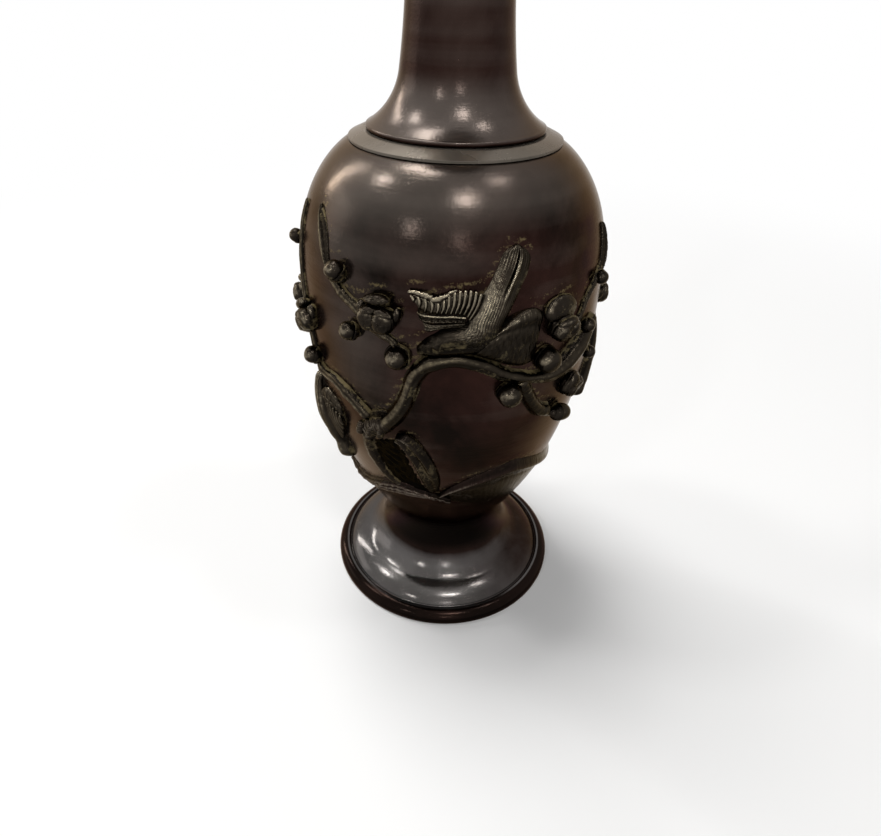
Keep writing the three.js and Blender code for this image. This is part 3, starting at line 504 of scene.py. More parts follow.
# Painted sheen where the shoulder faces up, most to the left, and painted shade in the waist.
body_sheen_and_shade = sheen_and_waist_shade(body_outline, body_sides, 0.36, 0.62, (4 * mm, 17 * mm))
# Patches of painted reflection and highlight, some of painted shade, and a few of paler patina.
body_sheen_and_shade = lit_patches(body_sheen_and_shade, (body_outline[:, 1] - body_base) / body_height, (
    (-34, 0.64, 15, 0.12, 0.24), (-48, 0.86, 22, 0.1, 0.28), (-6, 0.87, 26, 0.05, 0.12),
    (-60, 0.4, 20, 0.14, 0.16), (-46, 0.25, 17, 0.09, 0.7), (14, 0.4, 12, 0.1, -0.08),
    (16, 0.28, 7, 0.06, 0.16), (48, 0.42, 9, 0.14, 0.2), (2, 0.58, 14, 0.06, -0.16),
    (20, 0.86, 18, 0.1, -0.1), (150, 0.7, 30, 0.2, 0.15), (-140, 0.4, 30, 0.2, 0.12),
    (100, 0.35, 20, 0.1, 0.14)))
skin("body_casting", [(revolve(body_outline, body_sides), body_sheen_and_shade, True)], body_bronze,
     ["body_shell"], sharp=40)

# The collar. A low cast ring that drops into the shoulder on a spigot and takes the neck. Its
# patina is paler and greener than the turned pieces'; where it faces up it has a painted sheen.
collar_outline = mm * np.concatenate([
    line((35.15, 189.3), (35.2, 190.1)),
    bend([(35.2, 190.1), (33.4, 190.9), (32.2, 191.5), (30.6, 192)], 12)[1:],
    line((30.6, 192), (24, 192), (24, 185), (28.4, 185), (28.4, 189.3), (35, 189.3))[1:]])
collar_bronze = turned_bronze("collar_bronze", (0.085, 0.075, 0.062), (0.13, 0.113, 0.094),
                              (0.21, 0.185, 0.155), 0.26, 0.6, clouds=55.0, pitting=1.0, gloss=0.3)
collar_sides = 288
collar_sheen = sheen_and_waist_shade(collar_outline, collar_sides, -0.3, 0.6)
skin("collar_ring", [(revolve(collar_outline, collar_sides, 0.0008, 7), collar_sheen, True)],
     collar_bronze, ["collar"], sharp=30)

# The neck. A turned trumpet: a bead on the collar, a quick sweep in to the throat, and a wide
# rolled mouth. It is one casting, red-brown, with a painted sheen in level bands where its
# surface faces up, for the reflection of the lamps above.
neck_base, bead_top, neck_top, lip_radius = 192.3, 193.8, 300.0, 1.7
throat, narrow, bore_radius, spigot_top = neck_base + 17, neck_base + 50, 13.2, neck_base + 5
bead = np.linspace(-0.5 * np.pi, 0.5 * np.pi, 9)
lip = np.linspace(0, np.pi, 14)
neck_outline = mm * np.concatenate([
    np.column_stack([29.0 + 0.5 * np.cos(bead), neck_base + 0.72 * (1 + np.sin(bead))]),
    bend([(28.9, bead_top), (23.06, bead_top + 3.4), (19.2, bead_top + 9.35), (18.4, throat)], 46)[1:],
    bend([(18.4, throat), (16, neck_base + 33.5), (16, narrow)], 34)[1:],
    bend([(16, narrow), (16, neck_base + 75.97), (22.475, neck_base + 99.05),
          (34.5, neck_top - lip_radius)], 60)[1:-1],
    np.column_stack([32.8 + lip_radius * np.cos(lip), neck_top - lip_radius * (1 - np.sin(lip))]),
    bend([(31.1, neck_top - lip_radius), (19.6, neck_base + 97), (bore_radius, neck_base + 75),
          (bore_radius, narrow)], 44)[1:],
    bend([(bore_radius, narrow), (bore_radius, neck_base + 30), (16.4, neck_base + 14),
          (20.9, spigot_top)], 24)[1:],
    line((20.9, spigot_top), (20.9, 187.3), (23.7, 187.3), (23.7, neck_base), (28.9, neck_base))[1:]])
neck_bronze = turned_bronze("neck_bronze", (0.014, 0.007, 0.006), (0.026, 0.012, 0.0095),
                            (0.105, 0.088, 0.078), 0.18, 0.7, clouds=24.0)
neck_sides = 256
neck_sheen = sheen_and_waist_shade(neck_outline, neck_sides, 0.1, 0.5)
skin("neck_casting", [(revolve(neck_outline, neck_sides, 0.0008, 9), neck_sheen, True)], neck_bronze,
     ["neck"], sharp=40)

# The plum branches. Each is a casting of its own, pegged and soldered to the wall: a round rod that
# stands half out of it, chased by hand with knots where twigs left and a groove along the bark,
# its ridges worn pale.


def wall_slope(z):
    """How fast the wall's radius grows with height."""
    return (body_radius(z + 0.2 * mm) - body_radius(z - 0.2 * mm)) / (0.4 * mm)


def on_wall(degrees, share, lift):
    """The place at those degrees round and that share of the body's height, lifted out along the
    wall's own normal by lift metres."""
    z = body_base + body_height * share
    slope = wall_slope(z)
    flat = 1 / np.sqrt(1 + slope ** 2)
    angle = np.radians(degrees)
    r = body_radius(z) + lift * flat
    return np.stack([r * np.sin(angle), -r * np.cos(angle), z - lift * flat * slope], -1)


def flow(points, count):
    """A smooth line through the points: cubic pieces that leave each point with the slope
    between its neighbours, read at even steps."""
    p = np.asarray(points, float)
    slope = np.gradient(p, axis=0)
    t = np.linspace(0, len(p) - 1, count)
    i = np.minimum(t.astype(int), len(p) - 2)
    f = (t - i).reshape((-1,) + (1,) * (p.ndim - 1))
    return ((2 * f ** 3 - 3 * f ** 2 + 1) * p[i] + (f ** 3 - 2 * f ** 2 + f) * slope[i]
            + (3 * f ** 2 - 2 * f ** 3) * p[i + 1] + (f ** 3 - f ** 2) * slope[i + 1])


def uneven(u, v, seed, fine=1.0):
    """A hand-made unevenness of about -1 to 1: nine slanted waves with seeded pitches, whose
    pitch across v is a whole number, so that it closes round a rod."""
    rng = np.random.default_rng(seed)
    total = 0
    for _ in range(9):
        pitch = rng.uniform(2, 16) * fine
        total = total + rng.uniform(0.4, 1) / (1 + 0.1 * pitch) * np.sin(
            2 * np.pi * (pitch * u + rng.integers(-2, 3) * v) + rng.uniform(0, 6.28))
    return total / 2.2


def stands_out(height, reach):
    """How far each place of a grid stands above its surroundings: its height less the mean over
    a square of 2 x reach + 1 rows and columns."""
    wide = 2 * reach + 1
    total = np.pad(height, ((reach + 1, reach), (reach + 1, reach)), mode="edge").cumsum(0).cumsum(1)
    mean = total[wide:, wide:] - total[:-wide, wide:] - total[wide:, :-wide] + total[:-wide, :-wide]
    return height - mean / wide ** 2


def quarter_round(share):
    """A quarter circle read along its foot: the square root of 1 less the square of 1 less share."""
    return np.sqrt(1 - (1 - np.clip(share, 0, 1)) ** 2)


def limb(path, wide, high, shape, rows=170, sides=44, lift=0.3):
    """A form along the wall through stations of degrees, share and extra lift (mm). Its section is
    an oval of half width and half height (mm, read along it), whose middle stands the share lift
    of the height off the wall, and which spreads in a fillet where it meets the wall. What lies
    lower is pressed flat just inside the wall, and both ends are drawn in round. shape(u, turn)
    adds millimetres along the oval's radius. Its wear falls below 0 where earth has settled: in
    the fillet, most of all on the side that faces up."""
    fillet, inside = 0.5, 0.6 * mm
    course = flow([(*station, 0)[:3] for station in path], rows)
    u = np.linspace(0, 1, rows)[:, None]
    w, h = flow(wide, rows)[:, None] * mm, flow(high, rows)[:, None] * mm
    degrees, share = course[:, 0][:, None], course[:, 1][:, None]
    z = body_base + body_height * share
    per_degree = body_radius(z) * np.pi / 180
    per_share = body_height * np.sqrt(1 + wall_slope(z) ** 2)
    east = np.gradient(degrees[:, 0])[:, None] * per_degree
    north = np.gradient(share[:, 0])[:, None] * per_share
    run = np.hypot(east, north)
    length = np.cumsum(run)
    for distance in (length, length[-1] - length + run[-1, 0]):
        drawn = np.maximum(quarter_round(distance[:, None] / np.maximum(w, h)), 0.02)
        w, h = w * drawn, h * drawn
    turn = np.linspace(0, 2 * np.pi, sides, endpoint=False)[None, :]
    bark = shape(u, turn) * np.ones((rows, sides))
    proud = bark * mm * np.minimum(1, h / (0.6 * mm))
    out = course[:, 2][:, None] * mm + h * lift + (h + proud) * np.sin(turn)
    spread = 0.8 * fillet * h * np.clip(1 - out / (fillet * h), 0, 1) ** 2
    across = (w + proud) * np.cos(turn) + spread * np.tanh(4 * np.cos(turn))
    grid = on_wall(degrees - across * north / run / per_degree,
                   share + across * east / run / per_share, np.maximum(out, -inside))
    low = np.clip(1 - out / (0.75 * h), 0, 1)
    settled = np.clip(1.6 * low, 0, 1) * np.clip(0.2 + 0.8 * np.cos(turn) * east / run, 0, 1)
    wear_and_light = np.clip(0.42 + 0.4 * np.sin(turn) + 1.6 * stands_out(bark, 5), 0, 1)
    return grid, wear_and_light - 0.5 * settled - 0.12 * low, False


def between(first, last, rise, rows, columns, steep=6, ends=(0.04, 0.04)):
    """A form on the wall between two smooth edges, each through its stations of degrees and share.
    Its face stands out by rise(along, across) in mm, falls away at both edges as the square root
    of 1 less the distance from the middle to the power steep, and is drawn in round over that
    share of its length at both ends. Its back lies inside the wall."""
    seam, sink = 0.3, 0.9 * mm
    u = np.linspace(0, 1, rows)[:, None]
    even = np.linspace(0, 1, columns)[None, :]
    v = even - 0.7 * np.sin(2 * np.pi * even) / (2 * np.pi)
    a, b = flow(first, rows)[:, None, :], flow(last, rows)[:, None, :]
    spot = a * (1 - v[..., None]) + b * v[..., None]
    edge = np.sqrt(np.clip(1 - np.abs(2 * v - 1) ** steep, 0, 1)) * np.ones_like(u)
    for distance, size in ((u, ends[0]), (1 - u, ends[1])):
        if size:
            edge = edge * quarter_round(distance / size)
    height = rise(u, v) * np.ones_like(edge)
    face = on_wall(spot[..., 0], spot[..., 1], ((height + seam) * edge - seam) * mm)
    back = on_wall(spot[..., 0], spot[..., 1], -sink)[:, ::-1]
    wear_and_light = np.clip(0.45 + 0.05 * height + 2.2 * stands_out(height, 4), 0, 1)
    wear_and_light = wear_and_light - 1.2 * np.clip(1 - (height + seam) * edge / 0.5, 0, 1)
    return np.concatenate([face, back], 1), np.concatenate([wear_and_light, np.zeros_like(wear_and_light)], 1), False


def bark_of(seed, knots, groove, rough):
    """Bark: unevenness all over, swellings at the knots (share along, size in mm), and a groove
    along the outer side of the rod."""
    def shape(u, turn):
        relief = rough * uneven(u, turn / (2 * np.pi), seed)
        relief = relief + 0.5 * rough * uneven(u, turn / (2 * np.pi), seed + 1, 3.0)
        for at, size in knots:
            relief = relief + size * hump(u, at, 0.025)
        return relief - groove * hump(turn, 0.62 * np.pi, 0.28)
    return shape


def leaf(left, right, high, rise):
    """A pointed leaf or flat spur between two edges: domed, with a sharp rib along its middle."""
    return between(left, right, lambda u, v: high + rise * hump(v, 0.45, 0.16) * np.sin(np.pi * u) ** 0.5
                   + 0.12 * uneven(u, v, 31, 2.0), 120, 40)


def cast_bronze(name, dark, pale, worn_and_lit, ochre, roughness, metal, residue=0.8, bump=0.5):
    """Grey-green cast patina: faint clouds of two tones; paler metal where the ridges are rubbed
    and where painted light from the upper left raises the value; ochre earth left in the hollows
    and fillets, which is dull and not metal; and deep hollows, whose value is below -1.6, painted
    black as shade."""
    material, tree = empty_material(name)
    spot = node(tree, "ShaderNodeTexCoord").outputs["Object"]
    cast = grouped(tree, "cast_skin", spot, Clouds=260.0, Grain=1500.0, Pitting=1.0)
    wear_and_light = kept_on(tree, "wear_and_light")
    speckle = ramp(tree, noise(tree, spot, 700.0, 4.0, 0.65), 0.15, 0.85)
    bright = ramp(tree, maths(tree, "MULTIPLY_ADD", speckle, 0.7, wear_and_light), 0.98, 1.36)
    patches = ramp(tree, noise(tree, spot, 95.0), 0.42, 0.62, -0.3, 0.25)
    low = maths(tree, "SUBTRACT", maths(tree, "ADD", speckle, patches), wear_and_light)
    crust = ramp(tree, low, 0.46, 1.0, 0, residue)
    deep = ramp(tree, wear_and_light, -1.6, -2.4)
    tone = maths(tree, "MULTIPLY_ADD", cast["Cloud"], 0.5, wear_and_light)
    colour = mixed(tree, ramp(tree, tone, 0.4, 1.05), (*dark, 1), (*pale, 1))
    colour = mixed(tree, bright, colour, (*worn_and_lit, 1))
    colour = mixed(tree, crust, colour, (*ochre, 1))
    colour = mixed(tree, deep, colour, (0.0025, 0.002, 0.0015, 1))
    bare = maths(tree, "SUBTRACT", metal, crust, clamp=True)
    relief = node(tree, "ShaderNodeBump", {"Height": cast["Height"], "Strength": bump,
                                           "Distance": 0.2 * mm})
    surface(tree, {"Base Color": colour, "Roughness": ramp(tree, crust, 0.0, 0.6, roughness, 0.75),
                   "Metallic": maths(tree, "MAXIMUM", bare, deep), "Normal": relief.outputs[0],
                   "Specular IOR Level": 0.4, "Specular Tint": (0.7, 0.62, 0.52, 1)})
    return material


earth = (0.19, 0.148, 0.07)
bark_bronze = cast_bronze("bark_bronze", (0.004, 0.003, 0.0022), (0.034, 0.027, 0.019),
                          (0.14, 0.115, 0.074), earth, 0.2, 0.9)
branches = {
    "branch_main": ([(-29, 0.44), (-22.5, 0.468), (-16.8, 0.515), (-13.4, 0.565), (-11, 0.61), (-6, 0.645),
                     (3, 0.656), (12.2, 0.639), (18.1, 0.616), (24.5, 0.6), (31, 0.59), (37, 0.585),
                     (43.5, 0.594), (49.5, 0.618), (55, 0.643), (63, 0.672)],
                    (2.7, 2.5, 2.4, 2.3, 2.2, 2.2, 2.0, 1.9, 2.4, 3.3, 3.2, 1.8), 0.3,
                    ((0.34, 0.5), (0.6, 0.4))),
    "branch_left_low": ([(-30, 0.462), (-34, 0.485), (-39, 0.507), (-46, 0.527), (-56, 0.53), (-61, 0.58),
                         (-65.5, 0.68), (-70, 0.8), (-73, 0.89)],
                        (2.2, 2.0, 2.0, 1.7, 1.5, 1.1), 0.35, ((0.28, 0.4), (0.5, 0.35))),
    "branch_left_high": ([(-16, 0.655), (-19, 0.685), (-24, 0.7), (-32.6, 0.74), (-37.6, 0.757),
                          (-41.4, 0.775), (-46, 0.802)], (1.3, 1.4, 1.7, 1.6, 1.5), 0.2, ((0.7, 0.2),)),
    "branch_right": ([(50, 0.684), (51.6, 0.705), (55, 0.735), (60, 0.757), (64.5, 0.78)],
                     (1.0, 1.0, 1.1, 1.2), 0.3, ()),
    "twig_front": ([(24.8, 0.597), (27.6, 0.568), (31.0, 0.53), (35.6, 0.494), (41.5, 0.476)],
                   (2.3, 2.1, 2.1, 2.4), 0.0, ()),
    "branch_back_low": ([(66, 0.44), (76, 0.5), (90, 0.575), (106, 0.61), (122, 0.6), (138, 0.555)],
                        (2.7, 2.4, 1.9, 1.3), 0.3, ((0.25, 0.4), (0.55, 0.4))),
    "branch_back_high": ([(-92, 0.53), (-108, 0.585), (-124, 0.67), (-142, 0.705), (-160, 0.69),
                          (-176, 0.725)], (2.7, 2.4, 1.9, 1.3), 0.3, ((0.3, 0.4), (0.62, 0.4))),
}
# Two of them lie flatter than they are wide: their own half heights
flatter = {"branch_left_low": (2.0, 1.9, 1.6, 1.2, 1.0, 0.8),
           "branch_left_high": (0.975, 1.05, 1.275, 1.2, 1.125)}
# A pointed leaf ends one, and a flat spur another
leaves = {
    "branch_left_high": leaf([(-46.6, 0.79), (-50, 0.816), (-53, 0.841), (-55.4, 0.868), (-57.2, 0.905)],
                             [(-44.6, 0.797), (-45.9, 0.823), (-47.9, 0.859), (-51.4, 0.885),
                              (-56.4, 0.906)], 0.7, 0.8),
    "branch_right": leaf([(62, 0.772), (65.6, 0.79), (68.4, 0.82), (71, 0.862)],
                         [(64.5, 0.758), (70, 0.777), (73.5, 0.812), (72.6, 0.862)], 0.9, 0.9),
}
# shade: painted light from the upper left and painted shade on the lower right.
for seed, (name, (path, radii, groove, knots)) in enumerate(branches.items()):
    bark = bark_of(20 + seed, knots, groove, 0.07 if name == "twig_front" else 0.13)
    sheets = [limb(path, radii, flatter.get(name, radii), bark, rows=44 * len(path))]
    if name in leaves:
        sheets.append(leaves[name])
    skin("cast_" + name, sheets, bark_bronze, [name], shade=0.85)

# The old trunk. It is one casting on the wall, split open at its foot: a broad lip of bark with
# two ridges hangs over a hollow with a pebbly floor, painted black as shade, under a knot with
# three broken stubs.
ground_bronze = cast_bronze("ground_bronze", (0.004, 0.0028, 0.0022), (0.022, 0.0165, 0.012),
                            (0.09, 0.076, 0.058), (0.2, 0.15, 0.07), 0.22, 0.9, 0.5)


def split_lip(u, v):
    """Two rounded ridges along the lip with a groove between them, which fade towards its foot."""
    fade = np.clip(1.25 - u, 0, 1)
    ridges = 1.1 * hump(v, 0.3, 0.13) + 1.3 * hump(v, 0.74, 0.13) + 0.25 * hump(v, 0.5, 0.05)
    top = 1.1 + 0.9 * np.sin(np.pi * np.clip(u, 0.05, 0.9)) ** 0.7
    return top + ridges * fade - 0.3 * hump(v, 0.52, 0.04) + 0.1 * uneven(u, v, 41, 2.2)


def pebbles(u, v):
    """Round lumps of unequal size: the product of waves both ways, cut off below."""
    lumps = np.sin(30 * u + 2 * np.sin(7 * v)) * np.sin(15 * v + 2.5 * np.sin(9 * u + 1))
    return 0.1 + 0.6 * np.clip(lumps, 0, 1) ** 0.7 + 0.12 * uneven(u, v, 43, 2.0)


def crumbled(u, v):
    """Broken bark: sharp creases where an unevenness changes sign, under a finer one."""
    return 1.0 + 0.5 * np.abs(uneven(u, v * 3, 47, 2.4)) + 0.25 * uneven(u, v * 3, 48, 5)


def retoned(sheet, more):
    """The sheet with more added to its wear."""
    grid, wear_and_light, ring = sheet
    return grid, wear_and_light + more, ring


lip_casting = between(
    [(-20.5, 0.418), (-18.4, 0.407), (-16.2, 0.382), (-13.6, 0.343), (-11.5, 0.3), (-9.3, 0.258),
     (-6.6, 0.232)],
    [(-19, 0.44), (-15.2, 0.441), (-11, 0.424), (-6.9, 0.385), (-3.8, 0.34), (-1.9, 0.29), (-2.4, 0.24)],
    split_lip, 220, 72, steep=5, ends=(0.05, 0.12))
left_lip = limb([(-33, 0.41), (-33.8, 0.37), (-32.6, 0.325), (-29.6, 0.285), (-25.8, 0.255), (-21, 0.236),
                 (-15, 0.23)], (2.2, 2.0, 1.8, 1.5, 1.1), (1.8, 1.7, 1.4, 1.1, 0.7),
                bark_of(44, (), 0.25, 0.14), rows=180)
hollow = between(
    [(-30.8, 0.39), (-31, 0.35), (-29.5, 0.31), (-26.5, 0.277), (-21, 0.248), (-12, 0.236)],
    [(-20.2, 0.415), (-17.2, 0.385), (-14.6, 0.345), (-12.6, 0.305), (-10.8, 0.268), (-8.4, 0.24)],
    pebbles, 150, 90, ends=(0, 0))
knot = limb([(-33.5, 0.415), (-29.5, 0.44), (-25, 0.457), (-20.5, 0.47)], (2.6, 3.6, 3.4, 2.6),
            (2.0, 3.0, 2.9, 2.6), bark_of(45, ((0.25, 0.35), (0.6, 0.3)), 0.0, 0.3), rows=110, sides=56)
# The hollow is pushed far below -1.6: painted shade, near black.
trunk = [lip_casting, left_lip, retoned(hollow, -4), knot]
stubs = ((-33.4, 0.434, 1.5), (-28.8, 0.438, 1.6), (-24.6, 0.443, 1.3))
for at, (degrees, share, radius) in enumerate(stubs):
    trunk.append(limb([(degrees + 0.8, share + 0.022, 1.9), (degrees, share, 2.7),
                       (degrees - 0.3, share - 0.014, 2.3)], (radius, radius), (radius, radius),
                      bark_of(50 + at, (), 0.0, 0.12), rows=50, sides=32))
crumbs = between([(-32.5, 0.447), (-28.2, 0.458), (-23.8, 0.47), (-20, 0.478)],
                 [(-31, 0.476), (-27.5, 0.492), (-23.2, 0.501), (-19.6, 0.495)], crumbled, 90, 40)
trunk.append(retoned(crumbs, -0.55))
# shade: painted light from the upper left and painted shade on the lower right.
skin("cast_trunk", trunk, ground_bronze, ["trunk"], shade=0.85)

# The hills. Low cast banks lie round the foot of the tree. The left one is a rope of thin
# ridges; the others have a rolled grey lip, rubbed bright, over a smooth red-brown face.
hill_bronze = cast_bronze("hill_bronze", (0.004, 0.0024, 0.002), (0.021, 0.012, 0.0095),
                          (0.085, 0.07, 0.055), (0.05, 0.033, 0.018), 0.16, 0.88, 0.3, 0.3)


def roped(u, v):
    """Three thin ridges that wander along the bank and cross its foot slowly."""
    level = v + 0.05 * np.sin(7 * u) + 0.03 * np.sin(19 * u + 1)
    ridges = sum(size * hump(level, at, 0.075) for at, size in ((0.2, 0.9), (0.47, 1.4), (0.78, 1.5)))
    swell = 1 + 0.25 * uneven(u * 2, 0, 63)
    return 0.4 + 0.4 * v + ridges * swell + 0.12 * uneven(u * 4, v, 61, 1.5)


def rolled(u, v):
    """A round lip along the upper edge over a smooth face that runs out into the wall below."""
    lip = 1.5 * hump(v, 0.85, 0.085) - 0.35 * hump(v, 0.68, 0.05)
    return 0.1 + 0.8 * v ** 2 + lip + 0.06 * uneven(u * 4, v, 62, 1.4)


hills = {
    "hill_left": ([(-76, 0.135), (-62, 0.138), (-48, 0.152), (-28, 0.18), (-14, 0.194), (-5, 0.2),
                   (4, 0.19)],
                  [(-76, 0.19), (-60, 0.18), (-45.3, 0.2), (-31.9, 0.238), (-24.5, 0.25), (-17.5, 0.25),
                   (-10.5, 0.236), (-3.6, 0.222), (3.5, 0.2)], roped, 420, 56),
    "hill_right": ([(-3.0, 0.205), (6.4, 0.18), (19, 0.152), (33.3, 0.13), (46.4, 0.12), (62, 0.12),
                    (84, 0.13)],
                   [(-3.0, 0.226), (2.2, 0.257), (9.2, 0.285), (16, 0.306), (23, 0.322), (31.2, 0.331),
                    (37, 0.322), (47, 0.3), (58, 0.272), (70, 0.244), (84, 0.222)], rolled, 380, 60),
    "hill_back": ([(84.6, 0.13), (120, 0.13), (160, 0.13), (200, 0.13), (240, 0.13), (283.4, 0.135)],
                  [(84.6, 0.22), (113, 0.27), (141.5, 0.24), (170, 0.29), (198, 0.31), (226, 0.262),
                   (255, 0.222), (283.4, 0.19)], rolled, 640, 60),
}
# shade: painted light from the upper left and painted shade on the lower right.
for name, (lower, upper, rise, rows, columns) in hills.items():
    skin("cast_" + name, [between(lower, upper, rise, rows, columns, steep=10, ends=(0.02, 0.02))],
         hill_bronze, [name], sharp=60, shade=0.6, dust=0.2)

# The birds. Each is a plump cast body on a peg with its wings laid beside it: long feathers
# fan to a raised rim, shorter rows lie over their roots, and a graver cut the fine lines.
bird_bronze = cast_bronze("bird_bronze", (0.004, 0.003, 0.0022), (0.04, 0.032, 0.023),
                          (0.2, 0.172, 0.124), earth, 0.2, 0.9, 0.5)


def plumage(u, v):
    """The bird from its tail to its beak: a low tail with a deep groove, a second feather set
    lower beside it and fine lines fanning at the tip; then a swelling back with slanted rows of
    graved feathers; a smooth shoulder; and a round head that ends in the beak."""
    dome = np.sqrt(np.clip(1 - np.abs(2 * v - 1) ** 2.2, 0, 1))
    body = np.interp(u[:, 0], [0, 0.12, 0.3, 0.42, 0.55, 0.68, 0.8, 0.9, 1],
                     [0.8, 1.3, 1.8, 3.2, 4.4, 4.2, 3.6, 3.0, 0.8])[:, None] * (0.25 + 0.75 * dome)
    tail = np.clip((0.44 - u) * 9, 0, 1)
    groove = (0.9 * hump(v, 0.5 + 0.1 * u, 0.04) * np.clip((u - 0.06) * 18, 0, 1)
              * np.clip((0.36 - u) * 10, 0, 1))
    lower = 0.5 * np.clip((v - 0.62) * 12, 0, 1)
    tip = 0.22 * np.abs(np.sin(34 * (v - 0.5) * (1 + 0.6 * u))) * np.clip((0.2 - u) * 14, 0, 1)
    shaft = 0.042 * np.abs(np.sin(60 * v))
    rows = 0.16 * (0.5 + 0.5 * np.sin(2 * np.pi * (15 * v - 7 * u))) ** 0.8 * np.clip((v - 0.12) * 8, 0, 1)
    scales = 0.3 * np.abs(np.sin(70 * u + 6 * np.abs(np.sin(18 * v)))) * hump(u, 0.66, 0.08)
    arm = (0.8 * hump(v, 0.22, 0.14) - 0.5 * hump(v, 0.52, 0.07)) * hump(u, 0.78, 0.12)
    brow = 0.5 * hump(u, 0.86, 0.03) * hump(v, 0.4, 0.25)
    eye = 0.7 * hump(u, 0.885, 0.014) * hump(v, 0.42, 0.09)
    rough = 0.2 * uneven(u, v * 2, 73, 3.5) * np.clip((u - 0.78) * 9, 0, 1)
    return (body + (tip + shaft - groove - lower) * tail + rows * hump(u, 0.5, 0.16) + scales
            + arm + brow - eye + rough + 0.04 * uneven(u, v, 71, 2))


def vane(root, tip, half, high, lift, curl):
    """One long feather from root to tip (degrees, share): a bowed rod with a fine shaft line."""
    middle = ((root[0] + tip[0]) / 2 + curl, (root[1] + tip[1]) / 2, lift * 1.15)
    return limb([(*root, lift), middle, (*tip, lift * 0.75)], (half * 0.7, half, half * 1.05),
                (high, high, high * 0.8), lambda u, turn: -0.1 * hump(turn, np.pi / 2, 0.25),
                rows=48, sides=20, lift=0.2)


def fan(roots, tips, count, half, high, lift, curl=0.0):
    """Feathers side by side between a line of roots and a line of tips."""
    return [vane(root, tip, half, high, lift, curl)
            for root, tip in zip(flow(roots, count), flow(tips, count))]


def covert(fine, seed):
    """Three rows of small feathers: rounded scales in offset rows, broken by a hand-made
    roughness. Fine is the number of scales along a row."""
    def rise(u, v):
        row, step = np.divmod(v * 3, 1)
        scale = np.abs(np.sin(np.pi * (fine * u + 0.5 * row)))
        return 0.25 * scale ** 0.6 + 0.2 * step + 0.2 * uneven(u * 2, v, seed, 3)
    return rise


def broad_wing(u, v):
    """The far wing: it swells out of the body without a step, thins towards its tip, and has a
    rolled pale upper edge; rows of worn scales and soft ribs cross it."""
    rows = 0.1 * np.abs(np.sin(np.pi * (9 * u + 5 * v))) * np.clip((0.8 - v) * 5, 0, 1)
    band = 0.5 * hump(v, 0.9, 0.08) - 0.2 * hump(v, 0.76, 0.05)
    swell = (3.0 * (1 - u) ** 0.9 + 0.5) * np.sin(np.pi * (0.14 + 0.72 * v)) ** 0.7
    return 0.9 + swell + rows + band + 0.12 * uneven(u, v * 2, 79, 2.5)


def low_plumage(u, turn):
    """Rows of scales round the lower bird's tail half, and a crease behind its head."""
    scales = 0.2 * np.abs(np.sin(9 * np.cos(turn) + 4 * u)) * np.clip((0.55 - u) * 6, 0, 1)
    return scales - 0.5 * hump(u, 0.7, 0.05) + 0.05 * uneven(u, turn / (2 * np.pi), 75, 2)


bird_rows, bird_columns = 400, 112
front_bird = between(
    [(21, 0.881), (16.9, 0.868), (14.6, 0.845), (12.4, 0.818), (10.3, 0.797), (8.2, 0.772), (5.9, 0.75),
     (4.8, 0.737), (2, 0.731), (-1.5, 0.727), (-4.8, 0.713), (-7.8, 0.7), (-10.6, 0.68)],
    [(22.2, 0.881), (26.6, 0.86), (25.6, 0.828), (23.6, 0.806), (21.8, 0.783), (19.6, 0.758),
     (17.6, 0.733), (16.4, 0.705), (14.4, 0.676), (8.5, 0.669), (1.5, 0.666), (-4.6, 0.661), (-10.4, 0.66)],
    plumage, bird_rows, bird_columns, steep=3, ends=(0.05, 0.03))
along, across = np.linspace(0, 1, bird_rows)[:, None], np.linspace(0, 1, bird_columns)[None, :]
# Painted light on the bird: lighter on the back towards the tail; painted shade on the breast and darker
# towards the head.
shaded_breast = np.clip((along - 0.42) * 5, 0, 1) * np.clip((across - 0.42) * 4, 0, 1)
front_bird[1][:, :bird_columns] += (0.3 * hump(along, 0.36, 0.2) - 0.9 * shaded_breast
                                    - 0.3 * np.clip((along - 0.6) * 6, 0, 1))

